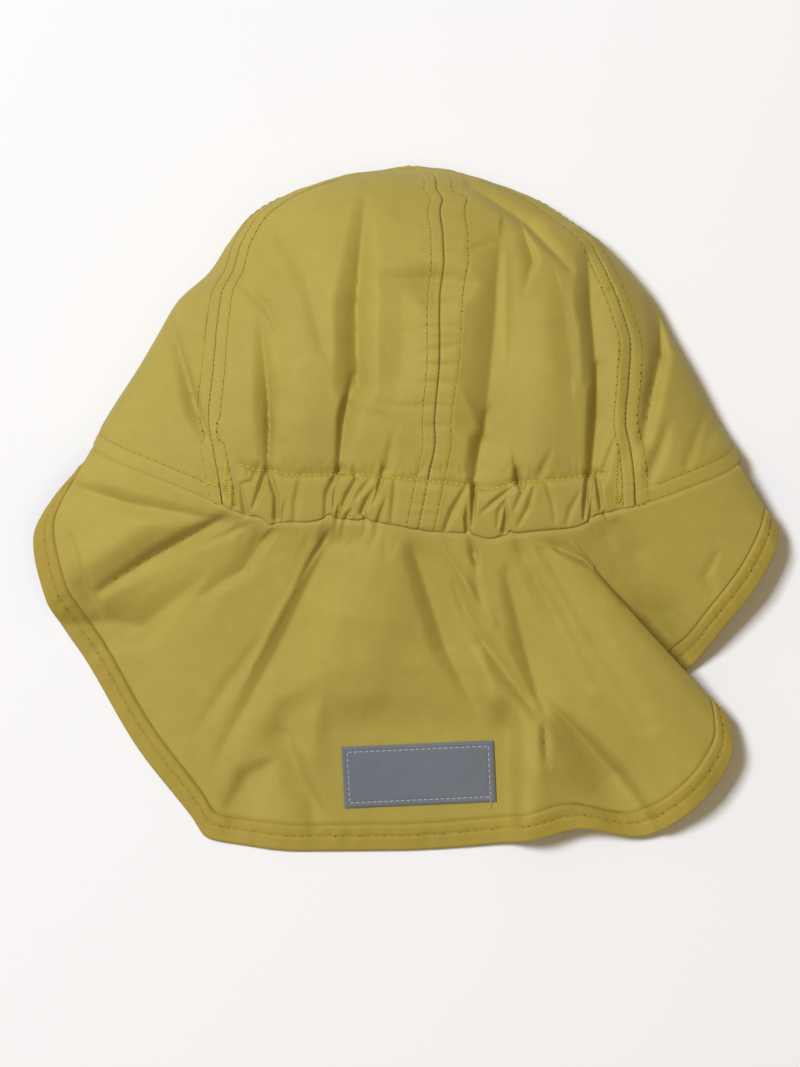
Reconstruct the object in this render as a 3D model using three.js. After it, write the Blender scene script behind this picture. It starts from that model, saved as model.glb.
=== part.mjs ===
// A child's sun hat with a neck flap, lying on its front with its back up.
// Millimetres. X runs across the hat, Y from the flap's hem to the top of the crown, and Z up
// out of the back. The hat rests on the plane Z = 0.
//
// The crown is one flattened dome, cut along six seams into panels. A ring of the dome is found by
// the Y of its section and an angle round it: 0 is the right side fold, 90 the middle of the back,
// 180 the left side fold and 270 the middle of the front, which lies on the plane. The flap is a
// fan of rays from the rim to the hem. Every cloth piece is a wall: a patch of one of these
// surfaces and the same patch moved inwards by the wall's thickness.
import * as THREE from 'three';

// Walls and gaps
const PANEL_WALL = 1.4;
const BAND_WALL = 1.6;
const CASING_WALL = 2;
const FLAP_WALL = 1.2;
const HEM_WALL = 1.6;
const SEAM_GAP = 0.8;
const RIM_GAP = 0.9;
const HEM_GAP = 2;
const LABEL_GAP = 0.3;

// Strips and plates
const BAND_HEIGHT = 8;
const CASING_HEIGHT = 17.6;
const HEM_WIDTH = 10.6;
const PEAK = { length: 54, thickness: 2.5, from: 232, to: 308, steps: 20 };
const LABEL = { x: 4.9, y: -101, width: 58, height: 24, thickness: 1.2, turn: 2.6 };
const LABEL_BED = { z: 8.6, slope: 0.2, margin: 9, fade: 14 };

// Crown: sections at right angles to Y. left and right are the outline seen from above, back is
// the height of the back, fold of the side folds and under of the underside, and flat is the sine
// of the angle from which the underside is flat. The rows below Y = 20 carry the side lines on
// past the rim, which cuts the dome off there.
const SECTIONS = [
  { y: -14, left: -141, right: 147, back: 33, fold: 8, under: 0, flat: 0.45 },
  { y: 0, left: -133.5, right: 139.5, back: 37, fold: 8, under: 0, flat: 0.45 },
  { y: 22, left: -121.6, right: 127.6, back: 42.5, fold: 8, under: 0, flat: 0.45 },
  { y: 34, left: -115.6, right: 119.4, back: 45, fold: 8, under: 0, flat: 0.45 },
  { y: 57, left: -101, right: 107.2, back: 47, fold: 8, under: 0, flat: 0.45 },
  { y: 68, left: -94.6, right: 100.8, back: 47, fold: 8, under: 0, flat: 0.45 },
  { y: 80, left: -87.4, right: 94.6, back: 46, fold: 8, under: 0, flat: 0.45 },
  { y: 91, left: -75.5, right: 86, back: 43.5, fold: 8, under: 0, flat: 0.45 },
  { y: 103, left: -67.5, right: 74.5, back: 38.5, fold: 8, under: 0, flat: 0.45 },
  { y: 114, left: -57.8, right: 57.8, back: 32, fold: 8, under: 0, flat: 0.5 },
  { y: 120, left: -47, right: 47, back: 27, fold: 8, under: 0.2, flat: 0.6 },
  { y: 125.5, left: -32.5, right: 33, back: 20.5, fold: 7.5, under: 1, flat: 0.8 },
  { y: 128.9, left: -19, right: 20.5, back: 13.5, fold: 7, under: 3, flat: 1 },
  { y: 130.6, left: 2, right: 2, back: 6.5, fold: 6.5, under: 6.5, flat: 1 },
];
const BACK_ROUNDNESS = 1.1;
const CROWN_END = 130.58;

// Seam angles by Y, three down the back and three down the front
const SEAMS = [
  { y: -14, right: 53, centre: 90, left: 119, frontLeft: 215, front: 270, frontRight: 325 },
  { y: 1, right: 52, centre: 88.6, left: 122, frontLeft: 215, front: 270, frontRight: 325 },
  { y: 12, right: 50.3, centre: 87.6, left: 124.5, frontLeft: 215, front: 270, frontRight: 325 },
  { y: 28, right: 47.9, centre: 86, left: 129, frontLeft: 215, front: 270, frontRight: 325 },
  { y: 51, right: 40.9, centre: 85, left: 134.8, frontLeft: 215, front: 270, frontRight: 325 },
  { y: 69, right: 33.9, centre: 84.4, left: 140.2, frontLeft: 215, front: 270, frontRight: 325 },
  { y: 78, right: 33.1, centre: 84.3, left: 143.2, frontLeft: 215, front: 270, frontRight: 325 },
  { y: 87, right: 31.1, centre: 84.1, left: 148.8, frontLeft: 215, front: 270, frontRight: 325 },
  { y: 94, right: 28.2, centre: 83.3, left: 153.2, frontLeft: 216, front: 270, frontRight: 324 },
  { y: 102, right: 23.4, centre: 81.8, left: 157, frontLeft: 217, front: 270, frontRight: 323 },
  { y: 114, right: 17, centre: 77, left: 160.5, frontLeft: 220, front: 270, frontRight: 320 },
  { y: 118.5, right: 13, centre: 74.3, left: 165, frontLeft: 220, front: 270, frontRight: 320 },
  { y: 121, right: 9, centre: 74.6, left: 168, frontLeft: 220, front: 270, frontRight: 320 },
  { y: 125.5, right: 4, centre: 70, left: 172, frontLeft: 218, front: 270, frontRight: 320 },
  { y: 130.6, right: -4, centre: 60, left: 176, frontLeft: 216, front: 265, frontRight: 318 },
];

// Rim: the Y of the crown's lower edge by angle
const RIM = [
  { angle: 0, y: 21 },
  { angle: 13, y: 17.3 },
  { angle: 24, y: 13.6 },
  { angle: 37, y: 8.5 },
  { angle: 48, y: 2.9 },
  { angle: 57, y: -1.1 },
  { angle: 64, y: -5.7 },
  { angle: 77, y: -9.5 },
  { angle: 86, y: -8.8 },
  { angle: 98, y: -4.6 },
  { angle: 104, y: -3.8 },
  { angle: 112, y: -5.2 },
  { angle: 122, y: 1.1 },
  { angle: 133, y: 8.7 },
  { angle: 147, y: 15.6 },
  { angle: 169, y: 22.8 },
  { angle: 180, y: 24.5 },
  { angle: 200, y: 16 },
  { angle: 225, y: 2 },
  { angle: 250, y: -9 },
  { angle: 270, y: -13 },
  { angle: 290, y: -9.5 },
  { angle: 315, y: 1 },
  { angle: 340, y: 14 },
  { angle: 360, y: 21 },
];

// Creases: a line through three places, its depth at each, and how far it spreads to its left and
// right, seen along the line. A negative depth is a ridge. sharp is the share of the depth that
// has flat walls in place of a soft bell.
const CREASE_COLUMNS = 'x0 y0 x1 y1 x2 y2 start middle end left right sharp';
const CROWN_CREASES = table(CREASE_COLUMNS, [
  [-52.2, 15, -52, 42, -54.5, 72, 1.8, 4.8, 0.8, 5.2, 5, 0.9],
  [-31, 60, -38, 88, -48, 104, 1, 1.6, 0.8, 4, 8, 0.5],
  [-75, 27, -79, 38, -90, 75, 2.6, 5.5, 1.8, 5, 3.5, 0.9],
  [-18.4, 47, -18.8, 76, -15.5, 116, 7.5, 8, 1.4, 8, 7.5, 0.9],
  [-25.3, 15, -23.4, 34, -20, 50, 1.8, 5.5, 5, 3.5, 6, 0.9],
  [30, 83.5, 11, 85, -10, 85.5, 0.8, 7, 0.8, 8, 8, 0.8],
  [-2, 50, -1, 66, -2, 82, 2.2, 3, 1.2, 10, 8, 0.3],
  [62, 90.5, 46, 108, 24, 123.5, 1, 4.4, 2, 3.5, 5, 0.8],
  [43.5, 79, 48, 94, 42, 112, 1, 3.8, 1.8, 7.5, 3.5, 0.8],
  [30, 34, 33.4, 68, 35.5, 101, 5.6, 6.2, 2.6, 11, 26, 0.9],
  [25.6, 11, 28.4, 26, 30.5, 36, 3.2, 7.2, 5.2, 4.6, 12, 0.8],
  [72, 50, 69.8, 76, 68.8, 96, 5, 6, 2.2, 6.5, 9, 0.9],
  [69.8, 13, 71.6, 34, 72.2, 54, 3.8, 7, 5.4, 4, 9, 0.85],
  [89.5, 26, 93, 43, 97, 60, 3, 5.4, 6, 4.5, 4, 0.85],
  [97.2, 59, 97, 72, 91, 90, 6, 5.4, 1.2, 5.5, 3.5, 0.85],
  [-38, 22, -38, 45, -38, 70, -1.6, -1.2, -0.4, 9, 9, 0],
  [50, 22, 52, 50, 54, 78, -1.6, -1.2, -0.4, 10, 10, 0],
  [62, 52, 60, 68, 58, 82, 1.4, 2.4, 1, 14, 6, 0.2],
]);

// Pleats that the elastic draws up in the casing: where each lies, its depth and its half width
const PLEATS = [
  { x: -64, depth: 1.4, spread: 1.8 },
  { x: -57, depth: 1, spread: 2 },
  { x: -50, depth: 2.6, spread: 2.2 },
  { x: -40.5, depth: 1.4, spread: 2.2 },
  { x: -31, depth: 1.2, spread: 1.8 },
  { x: -26, depth: 2.6, spread: 2 },
  { x: -19, depth: 1.4, spread: 2 },
  { x: -12, depth: 1.4, spread: 2 },
  { x: -5, depth: 1.2, spread: 2 },
  { x: 23.5, depth: 2.8, spread: 2.2 },
  { x: 37, depth: 2, spread: 2.2 },
  { x: 45, depth: 1.2, spread: 2.4 },
  { x: 53, depth: 1.6, spread: 2.2 },
  { x: 68.5, depth: 2.4, spread: 2 },
  { x: 74, depth: 1.8, spread: 1.8 },
];
const RIM_SETTLE = [-4, 12];
const CASING_PUFF = 1.2;
const PLEAT_REACH = 7;

// Flap: a ray for each row of its fan, from the rim at an angle to a place on the hem. fall says
// how the height is lost along the ray: 1 evenly, above 1 soon and below 1 late. At rows 14 to 18
// the flap is folded in, and the part before them laps over the part after them.
const FLAP_RAYS = table('row angle x y z fall', [
  [0, 178, -123.5, 15.5, 8, 1],
  [1, 169.5, -129.5, 11, 8, 1],
  [2, 146.5, -143, -11.5, 8, 0.9],
  [3, 132.6, -138.3, -34, 7, 0.9],
  [3.6, 127.4, -130.5, -47, 3.4, 1.1],
  [4, 122, -123.5, -57, 2.1, 1.4],
  [5, 111.7, -103.5, -91, 2.1, 1.4],
  [5.75, 105.6, -82.5, -117.8, 2.1, 1.4],
  [6, 103.8, -76.4, -126, 2.1, 1.4],
  [6.35, 102.1, -64, -128.5, 2.1, 1.4],
  [7, 99, -42, -131, 2.1, 1.05],
  [8, 91, -2.5, -130.7, 2.1, 1],
  [9, 85.4, 35.7, -128, 3.4, 1.1],
  [9.4, 83.5, 48, -126.3, 12, 1.05],
  [10, 80.6, 67, -122, 12, 1.1],
  [11, 76.7, 89, -125.4, 7, 1.1],
  [12, 73.5, 111.5, -113, 13, 0.9],
  [13, 70.2, 125, -92, 13, 0.85],
  [14, 67.7, 123.8, -80.5, 10, 0.95],
  [15, 66.5, 113, -73.5, 7.5, 1.1],
  [16, 65, 105.5, -69, 6, 1.35],
  [17, 62, 107, -62.5, 5, 1.3],
  [18, 57, 111.7, -57.8, 7, 0.9],
  [19, 48.4, 120, -47, 12, 0.8],
  [20, 37.4, 134.5, -28.5, 15, 0.75],
  [21, 23.7, 141.5, -14.5, 14, 0.75],
  [22, 12.7, 142.8, -8.5, 10, 0.8],
]);
const LAP_ROW = 14.5;

// Creases of the flap before the lap, and of its side after it
const FLAP_CREASES = table(CREASE_COLUMNS, [
  [-119, -32, -97, -18, -66, -1.5, 2, 4.8, 4.4, 4, 5.5, 0.9],
  [-78, -33, -62, -23, -50.5, -6, 0.8, 3.2, 4, 6.5, 4, 0.8],
  [-131, -50, -101, -45, -79, -27, 6, 6.5, 0.8, 10, 6, 0.6],
  [-125, 8.5, -104, 2, -74, -3, 3, 3.6, 1.4, 4, 6, 0.9],
  [-117, -40, -123, -28, -128, -10, 2.6, 3.4, 1, 5.5, 4, 0.8],
  [-72, -94, -49.5, -54, -28.5, -11, 0.8, 3.8, 3.8, 5.5, 15, 0.9],
  [-31, -119, -40, -104, -46, -86, 4.4, 5, 3.6, 8, 4, 0.5],
  [-40, -64, -14, -57, 14, -60, -1, -3.2, -1, 22, 15, 0.2],
  [31, -84, 15, -52, 1, -9, 0.2, 4.6, 3, 5.5, 9, 0.8],
  [50, -78, 29, -50, 18, -28, 3, 4.6, 1, 5, 5, 0.85],
  [52, -76, 45, -52, 38, -24, 4.4, 4.4, 1.4, 5.5, 8, 0.85],
  [94, -119, 80, -101, 54, -73, 3.5, 7, 2.2, 22, 4, 0.8],
  [49, -120, 50, -98, 50.5, -78, -3, -5, -2, 11, 16, 0.6],
  [70, -66, 57, -40, 42, -13, 1, 3, 2.2, 5, 5, 0.7],
  [92, -82, 72, -50, 52, -16, 1, 2.6, 1.6, 6, 6, 0.6],
  [84, -34, 72, -21, 46, -9.5, 4.5, 3.6, 1.6, 4, 6, 0.8],
  [110, -98, 82, -62, 54, -20, -3.5, -3.5, -1, 14, 12, 0],
  [-14, -66, -10, -42, -4, -14, -2, -4.5, -2, 24, 14, 0],
  [-122, -20, -100, -8, -75, -2, -2.5, -2.5, -1, 7, 7, 0],
]);
const SIDE_CREASES = table(CREASE_COLUMNS, [
  [91, -30, 87, -16, 79, -5, 1.4, 2.4, 1.2, 5.5, 5, 0.5],
  [104, -53, 98, -40, 88, -24, 3, 3, 0.6, 9, 8, 0.3],
]);
const FLAP_FLOOR = 2.1;
const CREASE_FADE = 0.08;
const GATHER_REACH = 6;

// Form of a crease: the roundings, in millimetres and as a share of the depth, of its bottom and
// of its walls' feet, the walls' reach, and the share of its spread that is left where it ends
const VALLEY_ROUNDING = 0.45;
const FOOT_ROUNDING = 0.06;
const WALL_REACH = 1.1;
const END_SPREAD = 0.35;

// How finely the walls are divided
const PANEL_ROWS = 18;
const FLAP_ROWS = 10;
const FLAP_COLUMNS = 66;

// Colours from the photograph
const YELLOW_CLOTH = { color: 0xc4b160, roughness: 0.72, metalness: 0 };
const GREY_LABEL = { color: 0x7c828e, roughness: 0.85, metalness: 0 };

// A short table: every row becomes an object with the named columns
function table(names, rows) {
  const columns = names.split(' ');
  return rows.map((row) => Object.fromEntries(columns.map((name, index) => [name, row[index]])));
}

// Value of a table's column between its rows, on a curve that never swings past them
function smoothAt(table, key, place, column) {
  const last = table.length - 1;
  const rising = table[last][key] > table[0][key];
  let low = 0;
  while (low < last - 1 && (place > table[low + 1][key]) === rising) low += 1;
  const step = (row) => table[row + 1][key] - table[row][key];
  const slope = (row) => (table[row + 1][column] - table[row][column]) / step(row);
  const tangent = (row) => {
    if (row === 0) return slope(0);
    if (row === last) return slope(last - 1);
    const before = slope(row - 1);
    const after = slope(row);
    return before * after > 0 ? (2 * before * after) / (before + after) : 0;
  };
  const width = step(low);
  const t = THREE.MathUtils.clamp((place - table[low][key]) / width, 0, 1);
  const from = table[low][column];
  const to = table[low + 1][column];
  const blend = t * t * (3 - 2 * t);
  const leave = tangent(low) * width * t * (1 - t) * (1 - t);
  const arrive = tangent(low + 1) * width * t * t * (1 - t);
  return from + (to - from) * blend + leave - arrive;
}

// How deep the creases are at a place. The flat walls of a crease fall evenly from its line to
// WALL_REACH of the spread, and the spread shrinks with the depth. Where creases meet, the depths
// join as the cube root of the sum of their cubes.
function creaseDepth(creases, x, y) {
  let deep = 0;
  let high = 0;
  for (const crease of creases) {
    const first = nearestOnStep(x, y, crease.x0, crease.y0, crease.x1, crease.y1);
    const second = nearestOnStep(x, y, crease.x1, crease.y1, crease.x2, crease.y2);
    const onFirst = first.distance < second.distance;
    const near = onFirst ? first : second;
    const from = onFirst ? crease.start : crease.middle;
    const to = onFirst ? crease.middle : crease.end;
    const strength = from + (to - from) * near.t;
    const deepest = Math.max(Math.abs(crease.start), Math.abs(crease.middle), Math.abs(crease.end));
    const onRight = THREE.MathUtils.smoothstep(-near.side, -1, 1);
    const widest = crease.left + (crease.right - crease.left) * onRight;
    const share = Math.abs(strength) / deepest;
    const spread = widest * (END_SPREAD + (1 - END_SPREAD) * share);
    const bell = Math.exp(-((near.distance / spread) ** 2));
    const away = Math.hypot(near.distance, VALLEY_ROUNDING) - VALLEY_ROUNDING;
    const fall = 1 - away / (WALL_REACH * spread);
    const tent = (fall + Math.hypot(fall, FOOT_ROUNDING)) / 2;
    const walls = (tent + tent ** 2) / 2;
    const depth = strength * ((1 - crease.sharp) * bell + crease.sharp * walls);
    deep += Math.max(0, depth) ** 3;
    high += Math.max(0, -depth) ** 3;
  }
  return Math.cbrt(deep) - Math.cbrt(high);
}

// Nearest place on a straight step, how far off it is, and how far to the step's left
function nearestOnStep(x, y, fromX, fromY, toX, toY) {
  const stepX = toX - fromX;
  const stepY = toY - fromY;
  const awayX = x - fromX;
  const awayY = y - fromY;
  const t = THREE.MathUtils.clamp((awayX * stepX + awayY * stepY) / (stepX ** 2 + stepY ** 2), 0, 1);
  const distance = Math.hypot(awayX - t * stepX, awayY - t * stepY);
  return { t, distance, side: (stepX * awayY - stepY * awayX) / Math.hypot(stepX, stepY) };
}

// Crown sections as half widths and heights. Squares are kept, so that the dome closes round.
const RINGS = SECTIONS.map((row) => ({
  y: row.y,
  centre: (row.left + row.right) / 2,
  fold: row.fold,
  flat: row.flat,
  widthSquare: ((row.right - row.left) / 2) ** 2,
  riseSquare: (row.back - row.fold) ** 2,
  dropSquare: (row.fold - row.under) ** 2,
}));

function ringAt(y) {
  const rootOf = (column) => Math.sqrt(Math.max(0, smoothAt(RINGS, 'y', y, column)));
  return {
    centre: smoothAt(RINGS, 'y', y, 'centre'),
    fold: smoothAt(RINGS, 'y', y, 'fold'),
    flat: smoothAt(RINGS, 'y', y, 'flat'),
    width: rootOf('widthSquare'),
    rise: rootOf('riseSquare'),
    drop: rootOf('dropSquare'),
  };
}

function wrapped(angle) {
  return ((angle % 360) + 360) % 360;
}

function rimY(angle) {
  return smoothAt(RIM, 'angle', wrapped(angle), 'y');
}

// Depth of the elastic's pleats, less its puff. Both fade away from the casing.
function pleatDepth(x, angle, y) {
  const middle = rimY(angle) + CASING_HEIGHT / 2;
  const outside = Math.max(0, Math.abs(y - middle) - CASING_HEIGHT / 2);
  const reach = Math.exp(-((outside / PLEAT_REACH) ** 2));
  const across = Math.min(1, Math.abs(y - middle) / (CASING_HEIGHT / 2));
  let depth = -CASING_PUFF * (1 - across * across);
  for (const pleat of PLEATS) {
    depth += pleat.depth * Math.exp(-(((x - pleat.x) / pleat.spread) ** 2)) * reach;
  }
  const onRight = THREE.MathUtils.smoothstep(wrapped(angle), 52, 57);
  const onLeft = THREE.MathUtils.smoothstep(wrapped(angle), 118, 122);
  return depth * (onRight - onLeft);
}

// Outside of the crown at an angle and a Y, with or without the elastic's pleats
function crownPoint(angle, y, pleated = true) {
  const ring = ringAt(y);
  const turn = THREE.MathUtils.degToRad(angle);
  const sine = Math.sin(turn);
  const x = ring.centre + ring.width * Math.cos(turn);
  if (sine < 0) {
    const lift = 1 - Math.min(1, -sine / ring.flat);
    return new THREE.Vector3(x, y, ring.fold - ring.drop * (1 - lift * lift));
  }
  const settle = THREE.MathUtils.smoothstep(sine, 0, 0.35);
  const overRim = THREE.MathUtils.smoothstep(y - rimY(angle), ...RIM_SETTLE);
  const pleats = pleated ? pleatDepth(x, angle, y) : 0;
  const depth = creaseDepth(CROWN_CREASES, x, y) * overRim + pleats;
  return new THREE.Vector3(x, y, ring.fold + ring.rise * sine ** BACK_ROUNDNESS - depth * settle);
}

// Outside of the flap: a row of the fan, whole or between two rows, and a share of its ray. The
// casing's pleats fade away soon below the rim.
function flapPoint(row, share) {
  const column = (name) => smoothAt(FLAP_RAYS, 'row', row, name);
  const angle = column('angle');
  const rim = crownPoint(angle, rimY(angle), false);
  const gathered = crownPoint(angle, rimY(angle)).z - rim.z;
  const x = rim.x + (column('x') - rim.x) * share;
  const y = rim.y + (column('y') - rim.y) * share;
  const fromRim = Math.hypot(x - rim.x, y - rim.y);
  const fallen = column('z') + (rim.z - column('z')) * Math.max(0, 1 - share) ** column('fall');
  const drape = fallen + gathered * Math.exp(-((fromRim / GATHER_REACH) ** 2));
  const afterLap = THREE.MathUtils.smoothstep(row, LAP_ROW - 0.5, LAP_ROW + 0.5);
  const before = creaseDepth(FLAP_CREASES, x, y) * (1 - afterLap);
  const after = creaseDepth(SIDE_CREASES, x, y) * afterLap;
  const settle = THREE.MathUtils.smoothstep(share, 0, CREASE_FADE);
  const creased = Math.max(drape - (before + after) * settle, FLAP_FLOOR);
  const bed = LABEL_BED.z + LABEL_BED.slope * (y - LABEL.y);
  return new THREE.Vector3(x, y, creased + (bed - creased) * bedShare(x, y));
}

// 1 under the label, where the flap is flat, falling to 0 some way round it
function bedShare(x, y) {
  const outX = Math.abs(x - LABEL.x) - LABEL.width / 2 - LABEL_BED.margin;
  const outY = Math.abs(y - LABEL.y) - LABEL.height / 2 - LABEL_BED.margin;
  const away = Math.hypot(Math.max(0, outX), Math.max(0, outY));
  return 1 - THREE.MathUtils.smoothstep(away, 0, LABEL_BED.fade);
}

// A closed wall over a patch of a surface. place turns a share of the columns and rows into the
// surface's own two numbers, and the inner side is moved along the surface's normal.
function wall(surface, place, thickness, columns, rows) {
  const outer = [];
  const inner = [];
  for (let row = 0; row <= rows; row += 1) {
    for (let column = 0; column <= columns; column += 1) {
      const [p, q] = place(column / columns, row / rows);
      const point = surface(p, q);
      outer.push(point);
      inner.push(point.clone().addScaledVector(outwardAt(surface, p, q), -thickness));
    }
  }
  const stride = columns + 1;
  const count = outer.length;
  const faces = [];
  const quad = (a, b, c, d) => faces.push(a, b, c, a, c, d);
  for (let row = 0; row < rows; row += 1) {
    for (let column = 0; column < columns; column += 1) {
      const a = row * stride + column;
      quad(a, a + stride, a + stride + 1, a + 1);
      quad(count + a, count + a + 1, count + a + stride + 1, count + a + stride);
    }
  }
  const edge = (a, b) => quad(a, b, count + b, count + a);
  for (let column = 0; column < columns; column += 1) {
    edge(column, column + 1);
    edge(rows * stride + column + 1, rows * stride + column);
  }
  for (let row = 0; row < rows; row += 1) {
    edge((row + 1) * stride, row * stride);
    edge(row * stride + columns, (row + 1) * stride + columns);
  }
  return closedGeometry([...outer, ...inner], faces);
}

// Outward normal of a surface from two short steps on it
function outwardAt(surface, p, q) {
  const step = 0.02;
  const alongP = surface(p + step, q).sub(surface(p - step, q));
  const alongQ = surface(p, q + step / 10).sub(surface(p, q - step / 10));
  return alongQ.cross(alongP).normalize();
}

// Geometry from shared points, turned so that its faces look outwards
function closedGeometry(points, faces) {
  let volume = 0;
  for (let face = 0; face < faces.length; face += 3) {
    const [a, b, c] = [points[faces[face]], points[faces[face + 1]], points[faces[face + 2]]];
    volume += a.dot(b.clone().cross(c));
  }
  const geometry = new THREE.BufferGeometry().setFromPoints(points);
  geometry.setIndex(volume > 0 ? faces : faces.slice().reverse());
  geometry.computeVertexNormals();
  return geometry;
}

// Angle at a share of the way between two seams, kept half a gap away from both
function angleBetween(y, from, to, share) {
  const start = smoothAt(SEAMS, 'y', y, from.seam) + (from.turn ?? 0);
  const end = smoothAt(SEAMS, 'y', y, to.seam) + (to.turn ?? 0);
  const inset = (angle) => {
    const step = crownPoint(angle + 0.1, y).distanceTo(crownPoint(angle - 0.1, y)) / 0.2;
    return SEAM_GAP / 2 / step;
  };
  const low = start + inset(start);
  return low + (end - inset(end) - low) * share;
}

// Angle and Y at a place of a panel or strip, between two seams and two heights over the rim.
// All panels are divided from the same height, so that they meet face to face along a seam.
function placeOnCrown(from, to, bottom, top, share, rise) {
  let angle = angleBetween(bottom, from, to, share);
  let y = 0;
  for (let round = 0; round < 6; round += 1) {
    const low = rimY(angle) + Math.min(bottom, BAND_HEIGHT);
    const high = Math.min(rimY(angle) + top, CROWN_END);
    y = Math.max(rimY(angle) + bottom, low + (high - low) * rise);
    angle = angleBetween(y, from, to, share);
  }
  return [angle, y];
}

function crownPanel(from, to, edge, columns) {
  const place = (share, rise) => {
    const round = Math.sin((rise * Math.PI) / 2);
    return placeOnCrown(from, to, edge + SEAM_GAP / 2, Infinity, share, round);
  };
  return wall(crownPoint, place, PANEL_WALL, columns, PANEL_ROWS);
}

function crownStrip(from, to, height, thickness, columns, rows) {
  const place = (share, rise) => placeOnCrown(from, to, 0, height - SEAM_GAP / 2, share, rise);
  return wall(crownPoint, place, thickness, columns, rows);
}

// A stretch of the flap's fan between two distances, each from the rim or back from the hem
function flapStrip(fromRim, toHem, thickness, rows) {
  const lastRow = FLAP_RAYS[FLAP_RAYS.length - 1].row;
  const place = (share, depth) => {
    const row = share * lastRow;
    const length = flapPoint(row, 0).distanceTo(flapPoint(row, 1));
    const hem = 1 - Math.min(HEM_WIDTH / length, 0.5);
    const [start, end] = [fromRim(length, hem), toHem(length, hem)];
    return [row, start + (end - start) * depth];
  };
  return wall(flapPoint, place, thickness, FLAP_COLUMNS, rows);
}

function neckFlap() {
  const fromRim = (length) => RIM_GAP / length;
  const toHem = (length, hem) => hem - HEM_GAP / 2 / length;
  return flapStrip(fromRim, toHem, FLAP_WALL, FLAP_ROWS);
}

function flapHem() {
  const fromFlap = (length, hem) => hem + HEM_GAP / 2 / length;
  return flapStrip(fromFlap, () => 1, HEM_WALL, 2);
}

// Peak: a flat crescent whose inner edge follows the front rim
function peak() {
  const inner = [];
  const outer = [];
  for (let step = 0; step <= PEAK.steps; step += 1) {
    const share = step / PEAK.steps;
    const angle = PEAK.from + (PEAK.to - PEAK.from) * share;
    const rim = crownPoint(angle, rimY(angle));
    const bulge = Math.sqrt(1 - (2 * share - 1) ** 2);
    inner.push(new THREE.Vector2(rim.x, rim.y - SEAM_GAP));
    outer.push(new THREE.Vector2(rim.x, rim.y - SEAM_GAP - PEAK.length * bulge));
  }
  const outline = [...inner, ...outer.slice(1, -1).reverse()];
  const sheet = { depth: PEAK.thickness, bevelEnabled: false };
  return new THREE.ExtrudeGeometry(new THREE.Shape(outline), sheet);
}

function labelPatch() {
  const plate = new THREE.Mesh(new THREE.BoxGeometry(LABEL.width, LABEL.height, LABEL.thickness));
  plate.rotation.set(Math.atan(LABEL_BED.slope), 0, THREE.MathUtils.degToRad(LABEL.turn));
  plate.position.set(LABEL.x, LABEL.y, LABEL_BED.z + LABEL_GAP + LABEL.thickness / 2);
  return plate;
}

function named(name, geometry, finish) {
  const mesh = new THREE.Mesh(geometry, new THREE.MeshStandardMaterial(finish));
  mesh.name = name;
  return mesh;
}

const RIGHT = { seam: 'right' };
const CENTRE = { seam: 'centre' };
const LEFT = { seam: 'left' };
const FRONT_LEFT = { seam: 'frontLeft' };
const FRONT = { seam: 'front' };
const FRONT_RIGHT = { seam: 'frontRight' };
const RIGHT_AGAIN = { seam: 'right', turn: 360 };

const hat = new THREE.Group();
const panels = [
  ['crown_back_right', RIGHT, CENTRE, CASING_HEIGHT, 18],
  ['crown_back_left', CENTRE, LEFT, CASING_HEIGHT, 18],
  ['crown_side_left', LEFT, FRONT_LEFT, BAND_HEIGHT, 12],
  ['crown_front_left', FRONT_LEFT, FRONT, BAND_HEIGHT, 6],
  ['crown_front_right', FRONT, FRONT_RIGHT, BAND_HEIGHT, 6],
  ['crown_side_right', FRONT_RIGHT, RIGHT_AGAIN, BAND_HEIGHT, 12],
];
for (const [name, ...sizes] of panels) {
  hat.add(named(name, crownPanel(...sizes), YELLOW_CLOTH));
}
hat.add(named(
  'elastic_casing',
  crownStrip(RIGHT, LEFT, CASING_HEIGHT, CASING_WALL, 60, 3),
  YELLOW_CLOTH,
));
hat.add(named(
  'rim_band',
  crownStrip(LEFT, RIGHT_AGAIN, BAND_HEIGHT, BAND_WALL, 48, 2),
  YELLOW_CLOTH,
));
hat.add(named('neck_flap', neckFlap(), YELLOW_CLOTH));
hat.add(named('flap_hem', flapHem(), YELLOW_CLOTH));
hat.add(named('peak', peak(), YELLOW_CLOTH));
const label = labelPatch();
label.name = 'label_patch';
label.material = new THREE.MeshStandardMaterial(GREY_LABEL);
hat.add(label);

export default hat;
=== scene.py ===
"""A child's yellow sun hat with a neck flap, lying on its front with its back up."""

import math

import bpy
import numpy as np
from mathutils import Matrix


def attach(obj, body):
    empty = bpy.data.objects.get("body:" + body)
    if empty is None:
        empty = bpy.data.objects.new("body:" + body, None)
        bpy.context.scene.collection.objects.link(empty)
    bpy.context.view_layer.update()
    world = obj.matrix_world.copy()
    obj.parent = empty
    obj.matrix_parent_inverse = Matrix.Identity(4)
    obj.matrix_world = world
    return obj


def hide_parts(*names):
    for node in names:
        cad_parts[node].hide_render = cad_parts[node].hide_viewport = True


bl_info = {
    "name": "Sun hat with neck flap",
    "version": (1, 0, 0),
    "blender": (4, 5, 0),
    "location": "View3D > Sidebar > Hat",
    "description": "Panelled crown, gathered casing, hemmed neck flap, peak, label and stitching",
    "category": "Mesh",
}

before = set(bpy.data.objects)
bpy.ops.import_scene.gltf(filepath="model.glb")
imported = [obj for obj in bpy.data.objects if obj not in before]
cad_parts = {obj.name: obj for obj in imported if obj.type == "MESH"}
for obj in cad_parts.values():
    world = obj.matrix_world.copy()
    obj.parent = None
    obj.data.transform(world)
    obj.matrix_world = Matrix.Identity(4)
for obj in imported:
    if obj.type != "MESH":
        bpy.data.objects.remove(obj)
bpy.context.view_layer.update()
MM = 0.001
SEED = 7


def table(names, *rows):
    """A short table: one array for each named column."""
    return dict(zip(names.split(), np.array(rows, float).T))


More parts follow.
